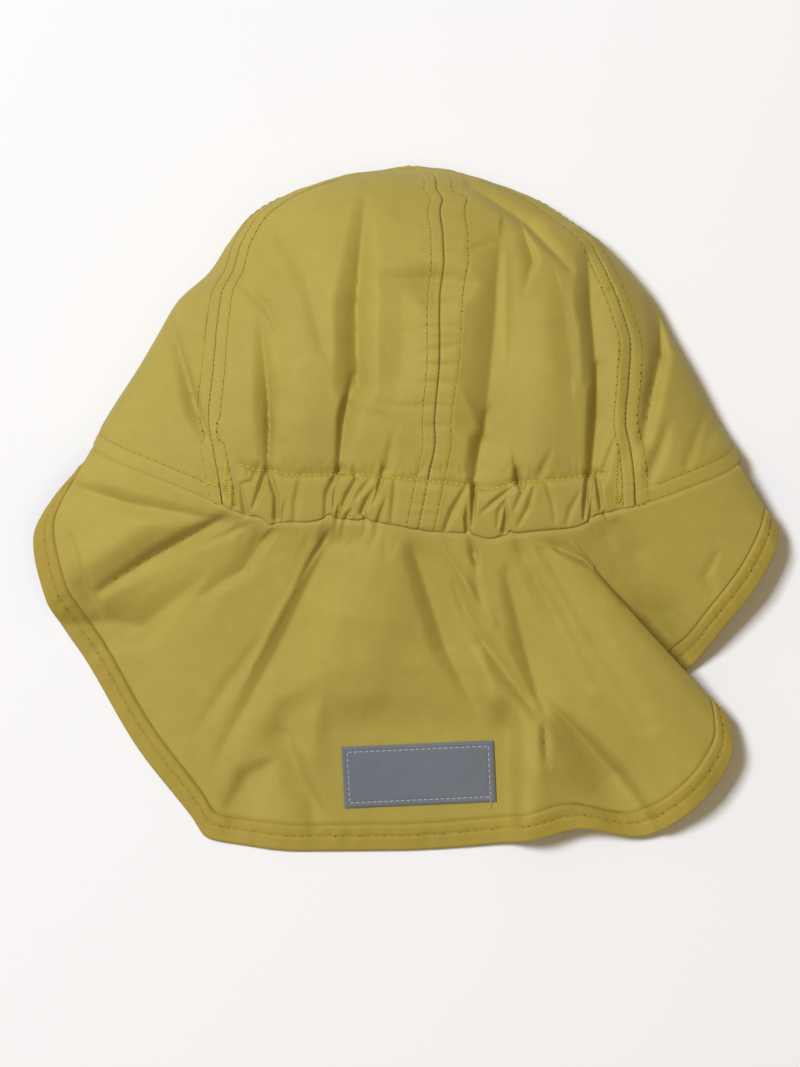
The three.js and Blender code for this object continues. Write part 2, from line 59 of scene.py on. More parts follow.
# Crown sections at right angles to Y, in millimetres. left and right are the outline from above,
# back is the height of the back, fold of the side folds and under of the underside. flat is the
# sine of the angle from which the underside is flat.
SECTIONS = table(
    "y left right back fold under flat",
    (-14, -141, 147, 33, 8, 0, 0.45),
    (0, -133.5, 139.5, 37, 8, 0, 0.45),
    (22, -121.6, 127.6, 42.5, 8, 0, 0.45),
    (34, -115.6, 119.4, 45, 8, 0, 0.45),
    (57, -101, 107.2, 47, 8, 0, 0.45),
    (68, -94.6, 100.8, 47, 8, 0, 0.45),
    (80, -87.4, 94.6, 46, 8, 0, 0.45),
    (91, -75.5, 86, 43.5, 8, 0, 0.45),
    (103, -67.5, 74.5, 38.5, 8, 0, 0.45),
    (114, -57.8, 57.8, 32, 8, 0, 0.5),
    (120, -47, 47, 27, 8, 0.2, 0.6),
    (125.5, -32.5, 33, 20.5, 7.5, 1, 0.8),
    (128.9, -19, 20.5, 13.5, 7, 3, 1),
    (130.6, 2, 2, 6.5, 6.5, 6.5, 1),
)
BACK_ROUNDNESS = 1.1
CROWN_END = 130.59

# Seam angles by Y, three down the back and three down the front
SEAMS = table(
    "y right centre left front_left front front_right",
    (-14, 53, 90, 119, 215, 270, 325),
    (1, 52, 88.6, 122, 215, 270, 325),
    (12, 50.3, 87.6, 124.5, 215, 270, 325),
    (28, 47.9, 86, 129, 215, 270, 325),
    (51, 40.9, 85, 134.8, 215, 270, 325),
    (69, 33.9, 84.4, 140.2, 215, 270, 325),
    (78, 33.1, 84.3, 143.2, 215, 270, 325),
    (87, 31.1, 84.1, 148.8, 215, 270, 325),
    (94, 28.2, 83.3, 153.2, 216, 270, 324),
    (102, 23.4, 81.8, 157, 217, 270, 323),
    (114, 17, 77, 160.5, 220, 270, 320),
    (118.5, 13, 74.3, 165, 220, 270, 320),
    (121, 9, 74.6, 168, 220, 270, 320),
    (125.5, 4, 70, 172, 218, 270, 320),
    (130.6, -4, 60, 176, 216, 265, 318),
)

# The Y of the crown's lower edge by angle
RIM = table(
    "angle y",
    (0, 21),
    (13, 17.3),
    (24, 13.6),
    (37, 8.5),
    (48, 2.9),
    (57, -1.1),
    (64, -5.7),
    (77, -9.5),
    (86, -8.8),
    (98, -4.6),
    (104, -3.8),
    (112, -5.2),
    (122, 1.1),
    (133, 8.7),
    (147, 15.6),
    (169, 22.8),
    (180, 24.5),
    (200, 16),
    (225, 2),
    (250, -9),
    (270, -13),
    (290, -9.5),
    (315, 1),
    (340, 14),
    (360, 21),
)

# Creases: a line through three places, its depth at each, and how far it spreads to its left and
# right, seen along the line. A negative depth is a ridge. sharp is the share of the depth that
# has flat walls in place of a soft bell.
CREASE_NAMES = "x0 y0 x1 y1 x2 y2 start middle end left right sharp"
# The flat walls reach this many spreads. They are rounded on the line, by what is added to the
# distance's square and taken off its root, and at their feet. Where a crease has no depth, this
# share of its spread is left. Towards the rim and the side folds the crown's creases fade.
WALL_REACH = 1.1
LINE_ROUNDING = (0.2, 0.45)
FOOT_ROUNDING = 0.004
END_SPREAD = 0.35
RIM_SETTLE = (-4, 12)
FOLD_SETTLE = (0, 0.35)
CROWN_CREASES = table(
    CREASE_NAMES,
    (-52.2, 15, -52, 42, -54.5, 72, 1.8, 4.8, 0.8, 5.2, 5, 0.9),
    (-52.1, 14, -51.4, 32, -52.5, 54, 1.6, 5.4, 2, 2.2, 2, 0.7),
    (-48.5, 68, -53, 77, -62, 85, 1, 1.8, 0.8, 3, 2.6, 0.7),
    (-31, 60, -38, 88, -48, 104, 1, 1.6, 0.8, 4, 8, 0.5),
    (-75, 27, -79, 38, -90, 75, 2.6, 5.5, 1.8, 5, 2.5, 0.9),
    (-77, 62, -78, 76, -77.5, 88, 1.3, 1.3, 0.5, 3.5, 3, 0.4),
    (-18.4, 47, -18.8, 76, -15.5, 116, 7.5, 8, 1.4, 8, 7.5, 0.95),
    (-21, 46, -20.4, 62, -20, 84, 1.6, 2.4, 0.6, 2.5, 1.6, 0.7),
    (-25.3, 15, -23.4, 34, -20, 50, 1.8, 5.5, 5, 2.4, 6, 0.9),
    (30, 84, 11, 86, -10, 86.5, 0.8, 5.5, 0.8, 11, 6, 0.5),
    (8, 38.2, -6, 38.8, -16, 42, 0.5, 0.8, 0.3, 1.5, 2, 0.5),
    (-7, 15, -6.3, 21, -5, 28, 1.4, 1.3, 0.3, 2, 2, 0.5),
    (-3, 31, -7, 34.5, -11, 36, 0.4, 0.8, 0.3, 1.4, 1.4, 0.5),
    (-2, 50, -1, 66, -2, 82, 2.2, 3, 1.2, 10, 8, 0.3),
    (62, 90.5, 46, 108, 24, 123.5, 1, 4.4, 2, 3.5, 5, 0.85),
    (43.5, 79, 48, 94, 42, 112, 1, 3.8, 1.8, 7.5, 2.6, 0.85),
    (30, 34, 33.4, 68, 35.5, 101, 5.6, 6.2, 2.6, 11, 26, 0.9),
    (25.6, 11, 28.4, 26, 30.5, 36, 3.2, 7.2, 5.2, 4.6, 12, 0.8),
    (33.2, 70, 33.6, 85, 34.5, 97, 0.8, 2.2, 0.6, 2.8, 1.4, 0.7),
    (37, 56, 37, 76, 37.5, 96, -0.4, -0.8, -0.4, 1.6, 2.4, 0.5),
    (37.5, 102, 31, 99.5, 22, 96.5, 1, 2, 0.5, 2.2, 3, 0.6),
    (28, 29, 24.5, 37, 21, 44, -0.8, -0.9, -0.4, 2.5, 2.5, 0.3),
    (30, 48, 25, 46.5, 20, 47, 0.3, 0.6, 0.3, 1.5, 1.5, 0.3),
    (42, 10, 40.5, 21, 37, 38, 3, 2, 0.5, 2.2, 1.8, 0.7),
    (50, 13, 52.5, 18, 55, 24, 1.4, 1.2, 0.3, 2.2, 2.6, 0.5),
    (72, 50, 69.8, 76, 68.8, 96, 5, 6, 2.2, 6.5, 9, 0.95),
    (69.8, 13, 71.6, 34, 72.2, 54, 3.8, 7, 5.4, 3.6, 9, 0.85),
    (71.5, 70, 73, 80, 78.5, 84, 2, 2.2, 0.8, 2.2, 2.2, 0.5),
    (89.5, 26, 93, 43, 97, 60, 3, 5.4, 6, 4.5, 4, 0.85),
    (97.2, 59, 97, 72, 91, 90, 6, 5.4, 1.2, 5.5, 3, 0.85),
    (91.5, 12, 96, 23, 99.5, 34, 1.8, 2.2, 0.4, 2.6, 3, 0.6),
    (106, 17, 110, 27, 115, 39, 1, 1.5, 0.4, 2.2, 3, 0.6),
    (113, 22, 115.5, 28, 119, 34, 0.6, 1, 0.3, 2, 2, 0.5),
    (73.5, 12, 77, 22, 80, 30, 3.2, 2.6, 0.8, 3, 2, 0.7),
    (-38, 22, -38, 45, -38, 70, -1.6, -1.2, -0.4, 9, 9, 0),
    (50, 22, 52, 50, 54, 78, -1.6, -1.2, -0.4, 10, 10, 0),
    (62, 52, 60, 68, 58, 82, 1.4, 2.4, 1, 14, 6, 0.2),
    (83, 20, 84, 38, 84, 58, 1.4, 1.8, 0.8, 7, 7, 0.2),
)

# Puckers across the centre seam, from its right topstitching to its left, and X of the seam at
# the top with what it moves to the left below
PUCKERS = table(
    "y fall depth",
    (79, 1.6, 0.9),
    (74, 0.8, 0.5),
    (68, 0.3, 0.8),
    (64, 0.8, 0.6),
    (60, 1.6, 0.9),
    (54, 0.2, 0.8),
    (47, -0.4, 0.8),
    (39, -0.4, 0.6),
    (31, 0.5, 0.4),
    (98, 0.5, 0.5),
    (106, -0.5, 0.4),
)
PUCKER_X = (13.2, 7)
PUCKER_SPREAD = 1.5

# Creases that the elastic draws up in the casing
CASING_CREASES = table(
    CREASE_NAMES,
    (-65, 1, -64.5, 8, -65, 17, 1.4, 1.7, 0.8, 1.2, 1.2, 0.7),
    (-69, 5, -68, 10, -67, 18, 0.5, 0.9, 0.8, 0.9, 0.9, 0.7),
    (-60.2, -1.5, -61.3, 4, -62, 9, 1.4, 1.1, 0.7, 1.4, 1.2, 0.7),
    (-62, 9.5, -58, 10.5, -55.5, 16.5, 0.7, 0.9, 1.1, 1.3, 1.2, 0.7),
    (-57.5, 1, -54.8, 7.5, -52.3, 15, 0.7, 1.7, 2, 1.6, 1.3, 0.7),
    (-48.8, -3, -48.7, 5, -52, 15, 2, 1.5, 1.7, 1.5, 1.4, 0.7),
    (-46.5, -3.5, -46, 0, -45.5, 3, 0.8, 0.7, 0.3, 1.2, 1.2, 0.7),
    (-42, -4, -41.3, 4, -39.8, 12, 0.6, 0.9, 0.5, 1.5, 2, 0.7),
    (-30.3, -2, -29.5, 6, -27, 11.5, 0.8, 1.4, 1.6, 1.6, 1.2, 0.7),
    (-27.2, 1, -26.8, 6, -26.2, 12, 0.5, 0.9, 1.4, 0.9, 0.9, 0.7),
    (-27.2, 11, -26, 13.5, -24.8, 16, 2.2, 2.4, 2.2, 1.3, 1.5, 0.7),
    (-25.8, -4, -25.5, -1, -25, 2, 1.6, 1.4, 0.4, 0.9, 0.9, 0.7),
    (-23, -4.5, -21.8, -2, -20.5, 0, 1.2, 1.4, 0.5, 1.1, 1, 0.7),
    (-24, 0.5, -21.8, 5.5, -18.8, 11, 0.9, 1.7, 1, 1.5, 1.2, 0.7),
    (-18.6, 11, -19, 13, -20, 16, 1.3, 1.3, 0.7, 0.9, 0.9, 0.7),
    (-16.5, -1, -14.5, 3.5, -12, 7.5, 1.6, 1.7, 0.5, 1.4, 1.2, 0.7),
    (-15, -5, -15.2, -3, -16, -1, 1.2, 1.4, 1.2, 0.9, 0.9, 0.7),
    (-19, 4, -16, 8, -13, 12, 0.4, 0.8, 0.3, 1.3, 1.2, 0.7),
    (-12.5, 2, -10.7, 6, -8.2, 15.5, 0.4, 1.3, 2, 1.2, 1, 0.7),
    (-10.5, -5, -9, 0, -7.5, 4.5, 1.6, 1.1, 0.3, 1.2, 1, 0.7),
    (-5.5, -5, -4.6, 4, -4, 12, 0.5, 0.9, 0.4, 1.4, 1.5, 0.7),
    (14.8, -7.5, 17.5, -0.5, 22.5, 8.5, 1.1, 1.5, 0.9, 1.6, 1.3, 0.7),
    (16.5, -4, 18.5, -1, 21, 3, 0.4, 0.9, 0.4, 1, 1, 0.7),
    (23.2, -8, 22.8, -3, 22.9, 1.2, 2, 1.9, 0.4, 1.1, 0.9, 0.7),
    (24.8, -6, 25.4, 1, 25.6, 9, 0.8, 2, 2.5, 1.2, 1, 0.7),
    (28.5, -1, 32, 2, 39.5, 8, 0.4, 1.1, 1.4, 1.3, 1.5, 0.7),
    (37, -8, 37.8, -3, 37.3, 3, 2.2, 1.9, 0.7, 1.4, 1, 0.7),
    (34.5, -6, 35, -1, 38, 4.5, 0.5, 0.9, 0.8, 1.5, 1.2, 0.7),
    (43.3, 7.5, 42.3, 10.5, 41.8, 15, 1.1, 2.1, 1.7, 1, 0.9, 0.7),
    (40.8, 0, 43.5, 6, 46, 10.5, 0.4, 0.9, 0.3, 1.3, 1.2, 0.7),
    (42.5, -5.5, 46, 0.5, 48, 8, 0.5, 1.1, 0.5, 1.5, 1.3, 0.7),
    (56, -4, 55, 3, 53, 10, 0.3, 0.6, 0.5, 1.5, 1.5, 0.7),
    (60.5, -5, 62, 0, 65, 6, 0.4, 0.7, 0.3, 1.6, 1.5, 0.7),
    (67.2, -3, 67.8, 4, 68.6, 13, 1.2, 2.4, 2.2, 1.3, 1, 0.7),
    (69.3, -4, 69.6, -0.5, 69.8, 4, 1.8, 1.4, 0.4, 0.9, 0.8, 0.7),
    (73.6, 0.5, 73, 6, 71.9, 14, 1.4, 2.1, 1.7, 1.2, 1, 0.7),
    (75, -3, 74.8, -0.5, 74.2, 2, 1.8, 1.3, 0.4, 0.9, 0.8, 0.7),
)

# Y of the casing's stitched line by X
CASING_TOPS = table(
    "x y",
    (-72, 18.4),
    (-66, 17),
    (-60, 15),
    (-53, 14.6),
    (-46, 13),
    (-30, 13.3),
    (-25, 14),
    (-15, 13),
    (0, 11.4),
    (10, 10.4),
    (24, 9.4),
    (30, 7.8),
    (38, 8.8),
    (42, 10.4),
    (60, 11.4),
    (68, 12.6),
    (80, 14.4),
)

# Scallops that the pleats push out along the casing's lower edge
SCALLOPS = table(
    "x depth spread",
    (30, -1.9, 5),
    (-28.5, 1.8, 1.8),
    (-36, -1, 5),
    (-50, -1.2, 1.6),
    (-55, 1, 3),
    (-15, 0.8, 1.5),
    (61, -1.2, 8),
    (70.5, 1, 3.5),
    (38, 1, 1.2),
    (23, 1, 1),
)
# X over the casing goes by the cosine of the angle. Its scallops and its creases each fade in
# between the first two of four angles, and out between the last two.
CASING_MIDDLE = 3
CASING_REACH = 136
SCALLOP_ENDS = (50, 56, 118, 122)
RELIEF_ENDS = (54.5, 58.5, 119.5, 122.5)

# The flap's fan: a ray for each row, from the rim at an angle to a place on the hem. fall says how
# the height is lost along the ray: 1 evenly, above 1 soon and below 1 late.
FLAP_RAYS = table(
    "row angle x y z fall",
    (0, 178, -123.5, 15.5, 8, 1),
    (1, 169.5, -129.5, 11, 8, 1),
    (2, 146.5, -143, -11.5, 8, 0.9),
    (3, 132.6, -138.3, -34, 7, 0.9),
    (3.6, 127.4, -130.5, -47, 3.4, 1.1),
    (4, 122, -123.5, -57, 2.1, 1.4),
    (5, 111.7, -103.5, -91, 2.1, 1.4),
    (5.75, 105.6, -82.5, -117.8, 2.1, 1.4),
    (6, 103.8, -76.4, -126, 2.1, 1.4),
    (6.35, 102.1, -64, -128.5, 2.1, 1.4),
    (7, 99, -42, -131, 2.1, 1.05),
    (8, 91, -2.5, -130.7, 2.1, 1),
    (9, 85.4, 35.7, -128, 3.4, 1.1),
    (9.4, 83.5, 48, -126.3, 12, 1.05),
    (10, 80.6, 67, -122, 12, 1.1),
    (11, 76.7, 89, -125.4, 7, 1.1),
    (12, 73.5, 111.5, -113, 13, 0.9),
    (13, 70.2, 125, -92, 13, 0.85),
    (14, 67.7, 123.8, -80.5, 10, 0.95),
    (15, 66.5, 113, -73.5, 7.5, 1.1),
    (16, 65, 105.5, -69, 6, 1.35),
    (17, 62, 107, -62.5, 5, 1.3),
    (18, 57, 111.7, -57.8, 7, 0.9),
    (19, 48.4, 120, -47, 12, 0.8),
    (20, 37.4, 134.5, -28.5, 15, 0.75),
    (21, 23.7, 141.5, -14.5, 14, 0.75),
    (22, 12.7, 142.8, -8.5, 10, 0.8),
)
# Rows above this one are the part that the fold at the right laps over, with creases of its own.
LAP_ROW = 14.5
FLAP_CREASES = table(
    CREASE_NAMES,
    (-119, -32, -97, -18, -66, -1.5, 2, 4.8, 4.4, 3.2, 5.5, 0.9),
    (-88, -16, -74, -11.5, -58, -4.5, 0.8, 1.8, 1.4, 1.8, 2.2, 0.7),
    (-78, -33, -62, -23, -50.5, -6, 0.8, 3.2, 4, 6.5, 3.5, 0.8),
    (-131, -50, -101, -45, -79, -27, 6, 6.5, 0.8, 10, 6, 0.6),
    (-125, 8.5, -104, 2, -74, -3, 3, 3.6, 1.4, 4, 6, 0.9),
    (-117, -40, -123, -28, -128, -10, 2.6, 3.4, 1, 5.5, 3, 0.8),
    (-41.5, -29, -35, -17.5, -28.5, -8, 1.5, 3.6, 4.6, 2.2, 2.4, 0.8),
    (-72, -94, -49.5, -54, -28.5, -11, 0.8, 3.8, 3.8, 5.5, 15, 0.9),
    (-62, -66, -46, -36, -33, -13, -0.5, -1.5, -1.2, 2, 2, 0.5),
    (-80, -84, -68, -66, -56, -50, 0.6, 1.4, 0.8, 3, 4, 0.5),
    (-31, -119, -40, -104, -46, -86, 4.4, 5, 3.6, 8, 4, 0.5),
    (-46, -86, -43.5, -78, -37, -72, 3.6, 3, 1, 8, 8, 0.1),
    (-40, -64, -14, -57, 14, -60, -1, -3.2, -1, 22, 15, 0.2),
    (-66, -114, -61, -103, -51, -96, 3, 3.4, 1.4, 4, 10, 0.3),
    (-22, -24, -19, -14, -15, -7, 0.4, 1, 1.4, 2, 1.6, 0.4),
    (-30, -14, -25, -12, -20, -8, 0.8, 1.2, 0.6, 1.8, 1.6, 0.4),
    (-8, -18, -8, -12, -8, -6.5, 0.4, 1, 1.2, 1.4, 1.4, 0.4),
    (31, -84, 15, -52, 1, -9, 0.2, 4.6, 3, 5.5, 9, 0.8),
    (50, -78, 29, -50, 18, -28, 3, 4.6, 1, 5, 5, 0.85),
    (33, -43, 22, -27, 12, -11, -0.8, -1.6, -1.2, 2, 2, 0.4),
    (31, -44, 28, -34, 26, -22, 1, 1.6, 0.6, 4, 1.8, 0.6),
    (27, -24, 25.8, -16, 24.8, -9, 0.6, 3, 3.6, 2.4, 1.8, 0.7),
    (52, -76, 45, -52, 38, -24, 4.4, 4.4, 1.4, 5.5, 8, 0.85),
    (94, -119, 80, -101, 54, -73, 3.5, 7, 2.2, 22, 4, 0.8),
    (91, -116, 80, -102, 66, -87, 1.5, 2.6, 1, 8, 3, 0.8),
    (49, -120, 50, -98, 50.5, -78, -3, -5, -2, 11, 16, 0.6),
    (53.6, -99, 53, -88, 52.2, -79, 0.8, 3.2, 1.8, 2, 2.6, 0.7),
    (70, -66, 57, -40, 42, -13, 1, 3, 2.2, 5, 5, 0.7),
    (92, -82, 72, -50, 52, -16, 1, 2.6, 1.6, 6, 6, 0.6),
    (84, -34, 72, -21, 46, -9.5, 4.5, 3.6, 1.6, 2.6, 6, 0.8),
    (82, -32, 80, -28, 78, -23, 2.5, 3.2, 1.6, 2, 2, 0.3),
    (110, -98, 82, -62, 54, -20, -3.5, -3.5, -1, 14, 12, 0),
    (-14, -66, -10, -42, -4, -14, -2, -4.5, -2, 24, 14, 0),
    (-122, -20, -100, -8, -75, -2, -2.5, -2.5, -1, 7, 7, 0),
)
SIDE_CREASES = table(
    CREASE_NAMES,
    (91, -30, 87, -16, 79, -5, 1.4, 2.4, 1.2, 5.5, 5, 0.5),
    (79, -14, 76, -9.5, 73, -5.5, 0.8, 1.4, 0.5, 2, 2, 0.4),
    (117, -31, 114, -25, 118, -17, 0.6, 1, 0.5, 3, 2.2, 0.4),
    (104, -53, 98, -40, 88, -24, 3, 3, 0.6, 9, 8, 0.3),
)

# Heights that the flap and the crown stay above, how sharply the flap bends to its own, and the
# height of the crown's underside
FLAP_FLOOR = 1.8
FLOOR_BEND = 4
CROWN_FLOOR = 0.3
REST_GAP = 0.8

# Strips, rows of stitches, puffs and puckers, in millimetres
BAND_HEIGHT = 8
BAND_STITCH = 5.6
CASING_PUFF = 1.4
TUCK = 1.2
HEM_WIDTH = 10.6
HEM_STITCH = 4.6
SEAM_ROW = 4.8
SEAM_RISE = 0.3
SEAM_PUCKER = 0.1
HEM_PUFF = 0.45
HEM_PUCKER = 0.16
# The share of the casing's gathers that the flap has at the rim, and how far down it they reach
GATHER_SHARE = 0.6
GATHER_REACH = 6

# Lines that are pressed into the cloth: the depth and the spread of each
SEAM_DITCH = (0.5, 0.45)
SEAM_GROOVE = (0.26, 0.6)
RIM_DITCH = (0.6, 0.6)
BAND_GROOVE = (0.3, 0.7)
FLAP_DITCH = (0.5, 0.8)
HEM_DITCH = (0.5, 0.45)
PEAK_GROOVE = (0.12, 0.6)
LABEL_EDGE = (0.35, 0.5)
LABEL_GROOVE = (0.22, 0.5)

# The label on its flat bed in the flap, which fades out above, below and at its sides
LABEL = {"x": 4.9, "y": -101, "width": 58, "height": 24, "turn": 2.6, "z": 8.6, "slope": 0.2}
LABEL_THICKNESS = 0.95
LABEL_INSET = 2
LABEL_MARGIN = 4
LABEL_FADE = 16
LABEL_SIDE_FADE = 8

# Bar tacks: X, the lowest and the highest Y, the width and the number of swings
BAR_TACKS = ((-68.2, 3.5, 12, 2.2, 8), (-67.6, 13.5, 19, 1.3, 5), (-73.5, 9, 11, 6, 2),
             (79.2, 3, 20, 1.1, 12))
# Loose curls of thread: X, Y, the radius and the number of turns
THREAD_CURLS = ((79.4, 4.2, 1.5, 1.3), (-25, -0.6, 1, 0.8), (-20.4, -2.4, 0.9, 0.8))

# The peak, from one angle at the rim to another
PEAK = {"length": 54, "thickness": 2.5, "from": 232, "to": 308, "gap": 0.6}


def size_property(name, description, size):
    """A length for the panel, from a size in millimetres."""
    return bpy.props.FloatProperty(
        name=name, description=description, default=size * MM, unit="LENGTH")


def colour_property(name, description, colour):
    """A colour for the panel."""
    return bpy.props.FloatVectorProperty(
        name=name, description=description, default=colour, size=3, min=0, max=1, subtype="COLOR")


class HatSizes(bpy.types.PropertyGroup):
    """Thicknesses of the cloth and the thread"""
    panel_wall: size_property("Panel wall", "Thickness of the crown's cloth", 1.1)
    flap_wall: size_property("Flap wall", "Thickness of the flap's cloth", 0.9)
    hem_wall: size_property("Hem wall", "Thickness of the folded hem", 1.5)
    thread: size_property("Thread", "Thickness of the sewing thread", 0.36)
    pitch: size_property("Stitch pitch", "From one stitch to the next", 3.2)


class HatColours(bpy.types.PropertyGroup):
    """Colours of the cloth, the label and the threads"""
    cloth: colour_property("Cloth", "Colour of the yellow cloth", (0.425, 0.337, 0.063))
    seam_thread: colour_property("Seam thread", "Colour of the topstitching", (0.42, 0.34, 0.02))
    # The dark seam thread's colour, which also paints the shade inside each needle hole
    dark_thread_and_hole_shade: colour_property(
        "Seam line", "Colour of the thread in the seams and of the needle holes",
        (0.13, 0.085, 0.012))
    bright_thread: colour_property(
        "Casing thread", "Colour of the stitching on the casing", (0.6, 0.5, 0.03))
    label: colour_property("Label", "Colour of the woven label", (0.17, 0.185, 0.215))
    label_thread: colour_property(
        "Label thread", "Colour of the label's border stitches", (0.5, 0.52, 0.53))


# Surfaces


def smooth_step(value, low, high):
    """t * t * (3 - 2 t), where t goes from 0 at low to 1 at high."""
    t = np.clip((value - low) / (high - low), 0, 1)
    return t * t * (3 - 2 * t)


def bell(distance, spread):
    """exp(-(distance / spread)^2)."""
    return np.exp(-((distance / spread) ** 2))


def pressed(distance, line):
    """The bell of a line pressed into the cloth, from its depth and its spread."""
    return line[0] * bell(distance, line[1])


def between(angle, ends):
    """1 between the middle two of four angles, falling smoothly to 0 at the outer two."""
    return smooth_step(angle, ends[0], ends[1]) - smooth_step(angle, ends[2], ends[3])


def size_of(vectors):
    """The length of each vector."""
    return np.linalg.norm(vectors, axis=-1)


def unit(vectors):
    """Each vector at a length of 1."""
    return vectors / np.maximum(size_of(vectors), 1e-9)[..., None]


def smooth_at(rows, place, *columns):
    """The columns at places in the table's first column: cubics through the rows whose slope at a
    row is the harmonic mean of the slopes beside it, or 0 where they differ in sign, so that they
    never swing past a row."""
    at = next(iter(rows.values()))
    gap = np.diff(at)
    place = np.clip(place, at[0], at[-1])
    low = np.clip(np.searchsorted(at, place, side="right") - 1, 0, len(at) - 2)
    t = (place - at[low]) / gap[low]
    blend = t * t * (3 - 2 * t)
    found = []
    for column in columns:
        value = rows[column]
        slope = np.diff(value) / gap
        product = slope[:-1] * slope[1:]
        total = np.where(product > 0, slope[:-1] + slope[1:], 1)
        middle = np.where(product > 0, 2 * product / total, 0)
        tangent = np.concatenate([slope[:1], middle, slope[-1:]])
        leave = tangent[low] * gap[low] * t * (1 - t) ** 2
        arrive = tangent[low + 1] * gap[low] * t * t * (1 - t)
        found.append(value[low] + (value[low + 1] - value[low]) * blend + leave - arrive)
    return found if len(found) > 1 else found[0]


def crease_depth(creases, x, y):
    """For each crease, with d the distance from its line and s its spread on that side:
    depth * ((1 - sharp) * exp(-(d / s)^2) + sharp * (t + t^2) / 2), where t falls evenly from 1
    on the line to 0 at a distance of 1.1 s, with its two bends rounded. s shrinks with the depth.
    Where creases meet, the depths join as the cube root of the sum of their cubes."""
    deep, high = np.zeros_like(x), np.zeros_like(x)
    for place in zip(*creases.values()):
        x0, y0, x1, y1, x2, y2, start, middle, end, left, right, sharp = place
        reach = 3 * max(left, right)
        near = (x > min(x0, x1, x2) - reach) & (x < max(x0, x1, x2) + reach)
        near &= (y > min(y0, y1, y2) - reach) & (y < max(y0, y1, y2) + reach)
        if not near.any():
            continue
        first = step_distance(x[near], y[near], x0, y0, x1, y1)
        second = step_distance(x[near], y[near], x1, y1, x2, y2)
        on_first = first[1] < second[1]
        strength = np.where(on_first, start + (middle - start) * first[0],
                            middle + (end - middle) * second[0])
        distance = np.where(on_first, first[1], second[1])
        side = np.where(on_first, first[2], second[2])
        deepest = max(abs(start), abs(middle), abs(end))
        spread = left + (right - left) * smooth_step(-side, -1, 1)
        spread = spread * (END_SPREAD + (1 - END_SPREAD) * np.abs(strength) / deepest)
        away = np.sqrt(distance**2 + LINE_ROUNDING[0]) - LINE_ROUNDING[1]
        fall = 1 - away / (WALL_REACH * spread)
        wall = (fall + np.sqrt(fall**2 + FOOT_ROUNDING)) / 2
        depth = strength * ((1 - sharp) * bell(distance, spread) + sharp * (wall + wall**2) / 2)
        deep[near] += np.maximum(0, depth) ** 3
        high[near] += np.maximum(0, -depth) ** 3
    return np.cbrt(deep) - np.cbrt(high)


def step_distance(x, y, from_x, from_y, to_x, to_y):
    """Share along a straight step of its nearest place, the distance, and the signed side."""
    step_x, step_y = to_x - from_x, to_y - from_y
    size = math.hypot(step_x, step_y)
    away_x, away_y = x - from_x, y - from_y
    t = np.clip((away_x * step_x + away_y * step_y) / size**2, 0, 1)
    distance = np.hypot(away_x - t * step_x, away_y - t * step_y)
    return t, distance, (step_x * away_y - step_y * away_x) / size


def scattered_creases(seed, count, low, high, heading, wander, length, depth, spread, sharp):
    """A table of small creases: places spread evenly over a box, headings in degrees from the
    X axis with a random wander, and random lengths, depths and spreads between two values."""
    draw = np.random.default_rng(seed)
    x0 = draw.uniform(low[0], high[0], count)
    y0 = draw.uniform(low[1], high[1], count)
    first = np.radians(heading(x0, y0) + draw.normal(0, wander, count))
    second = first + np.radians(draw.normal(0, wander / 2, count))
    half = draw.uniform(length[0], length[1], count) / 2
    x1, y1 = x0 + half * np.cos(first), y0 + half * np.sin(first)
    deep = draw.uniform(depth[0], depth[1], count)
    wide = draw.uniform(spread[0], spread[1], count)
    columns = (x0, y0, x1, y1, x1 + half * np.cos(second), y1 + half * np.sin(second),
               deep, deep * 0.7, deep * 0.1, wide, wide * draw.uniform(1, 1.6, count),
               np.full(count, sharp))
    return dict(zip(CREASE_NAMES.split(), columns))


def upwards(x, y):
    """A heading of 90 degrees everywhere."""
    return np.full_like(x, 90)


def all_ways(x, y):
    """A heading that swings quickly from place to place."""
    return np.degrees(np.sin(x * 12.9 + y * 78.2) * 3)


def away_from_casing(x, y):
    """A heading away from a place over the casing, in the middle of the crown."""
    return np.degrees(np.arctan2(y - 60, (x - 4) * 0.9))


GATHER_TUCKS = scattered_creases(
    SEED, 90, (-64, 13), (72, 15.5), upwards, 22, (2, 6), (0.2, 0.7), (0.6, 1.1), 0.5)
CROWN_CRINKLES = scattered_creases(
    SEED + 1, 60, (-110, 15), (115, 125), all_ways, 30, (8, 26), (-0.25, 0.3), (2, 4), 0.3)
FLAP_TUCKS = scattered_creases(
    SEED + 2, 54, (-64, -9), (80, -5), away_from_casing, 12, (4, 16), (0.3, 1), (0.9, 1.8), 0.5)
FLAP_CRINKLES = scattered_creases(
    SEED + 3, 80, (-135, -125), (135, 10), away_from_casing, 30, (8, 30), (-0.3, 0.35), (2, 4),
    0.3)

SEAM_NAMES = ("right", "centre", "left", "front_left", "front", "front_right")
# The sections again, with squares of the half width, the rise and the drop, so that all three are
# round at the apex
RINGS = {
    "y": SECTIONS["y"],
    "flat": SECTIONS["flat"],
    "fold": SECTIONS["fold"],
    "centre": (SECTIONS["left"] + SECTIONS["right"]) / 2,
    "width": ((SECTIONS["right"] - SECTIONS["left"]) / 2) ** 2,
    "rise": (SECTIONS["back"] - SECTIONS["fold"]) ** 2,
    "drop": np.maximum(0, SECTIONS["fold"] - SECTIONS["under"] - REST_GAP) ** 2,
}


def casing_x(turn):
    """X over the casing at an angle."""
    return CASING_MIDDLE + CASING_REACH * np.cos(np.radians(turn))


def rim_y(angle):
    """The rim's table, and on the casing the scallops' bells."""
    turn = np.mod(angle, 360)
    y = smooth_at(RIM, turn, "y")
    x = casing_x(turn)
    casing = between(turn, SCALLOP_ENDS)
    for place, depth, spread in zip(*SCALLOPS.values()):
        y = y + depth * bell(x - place, spread) * casing
    return y


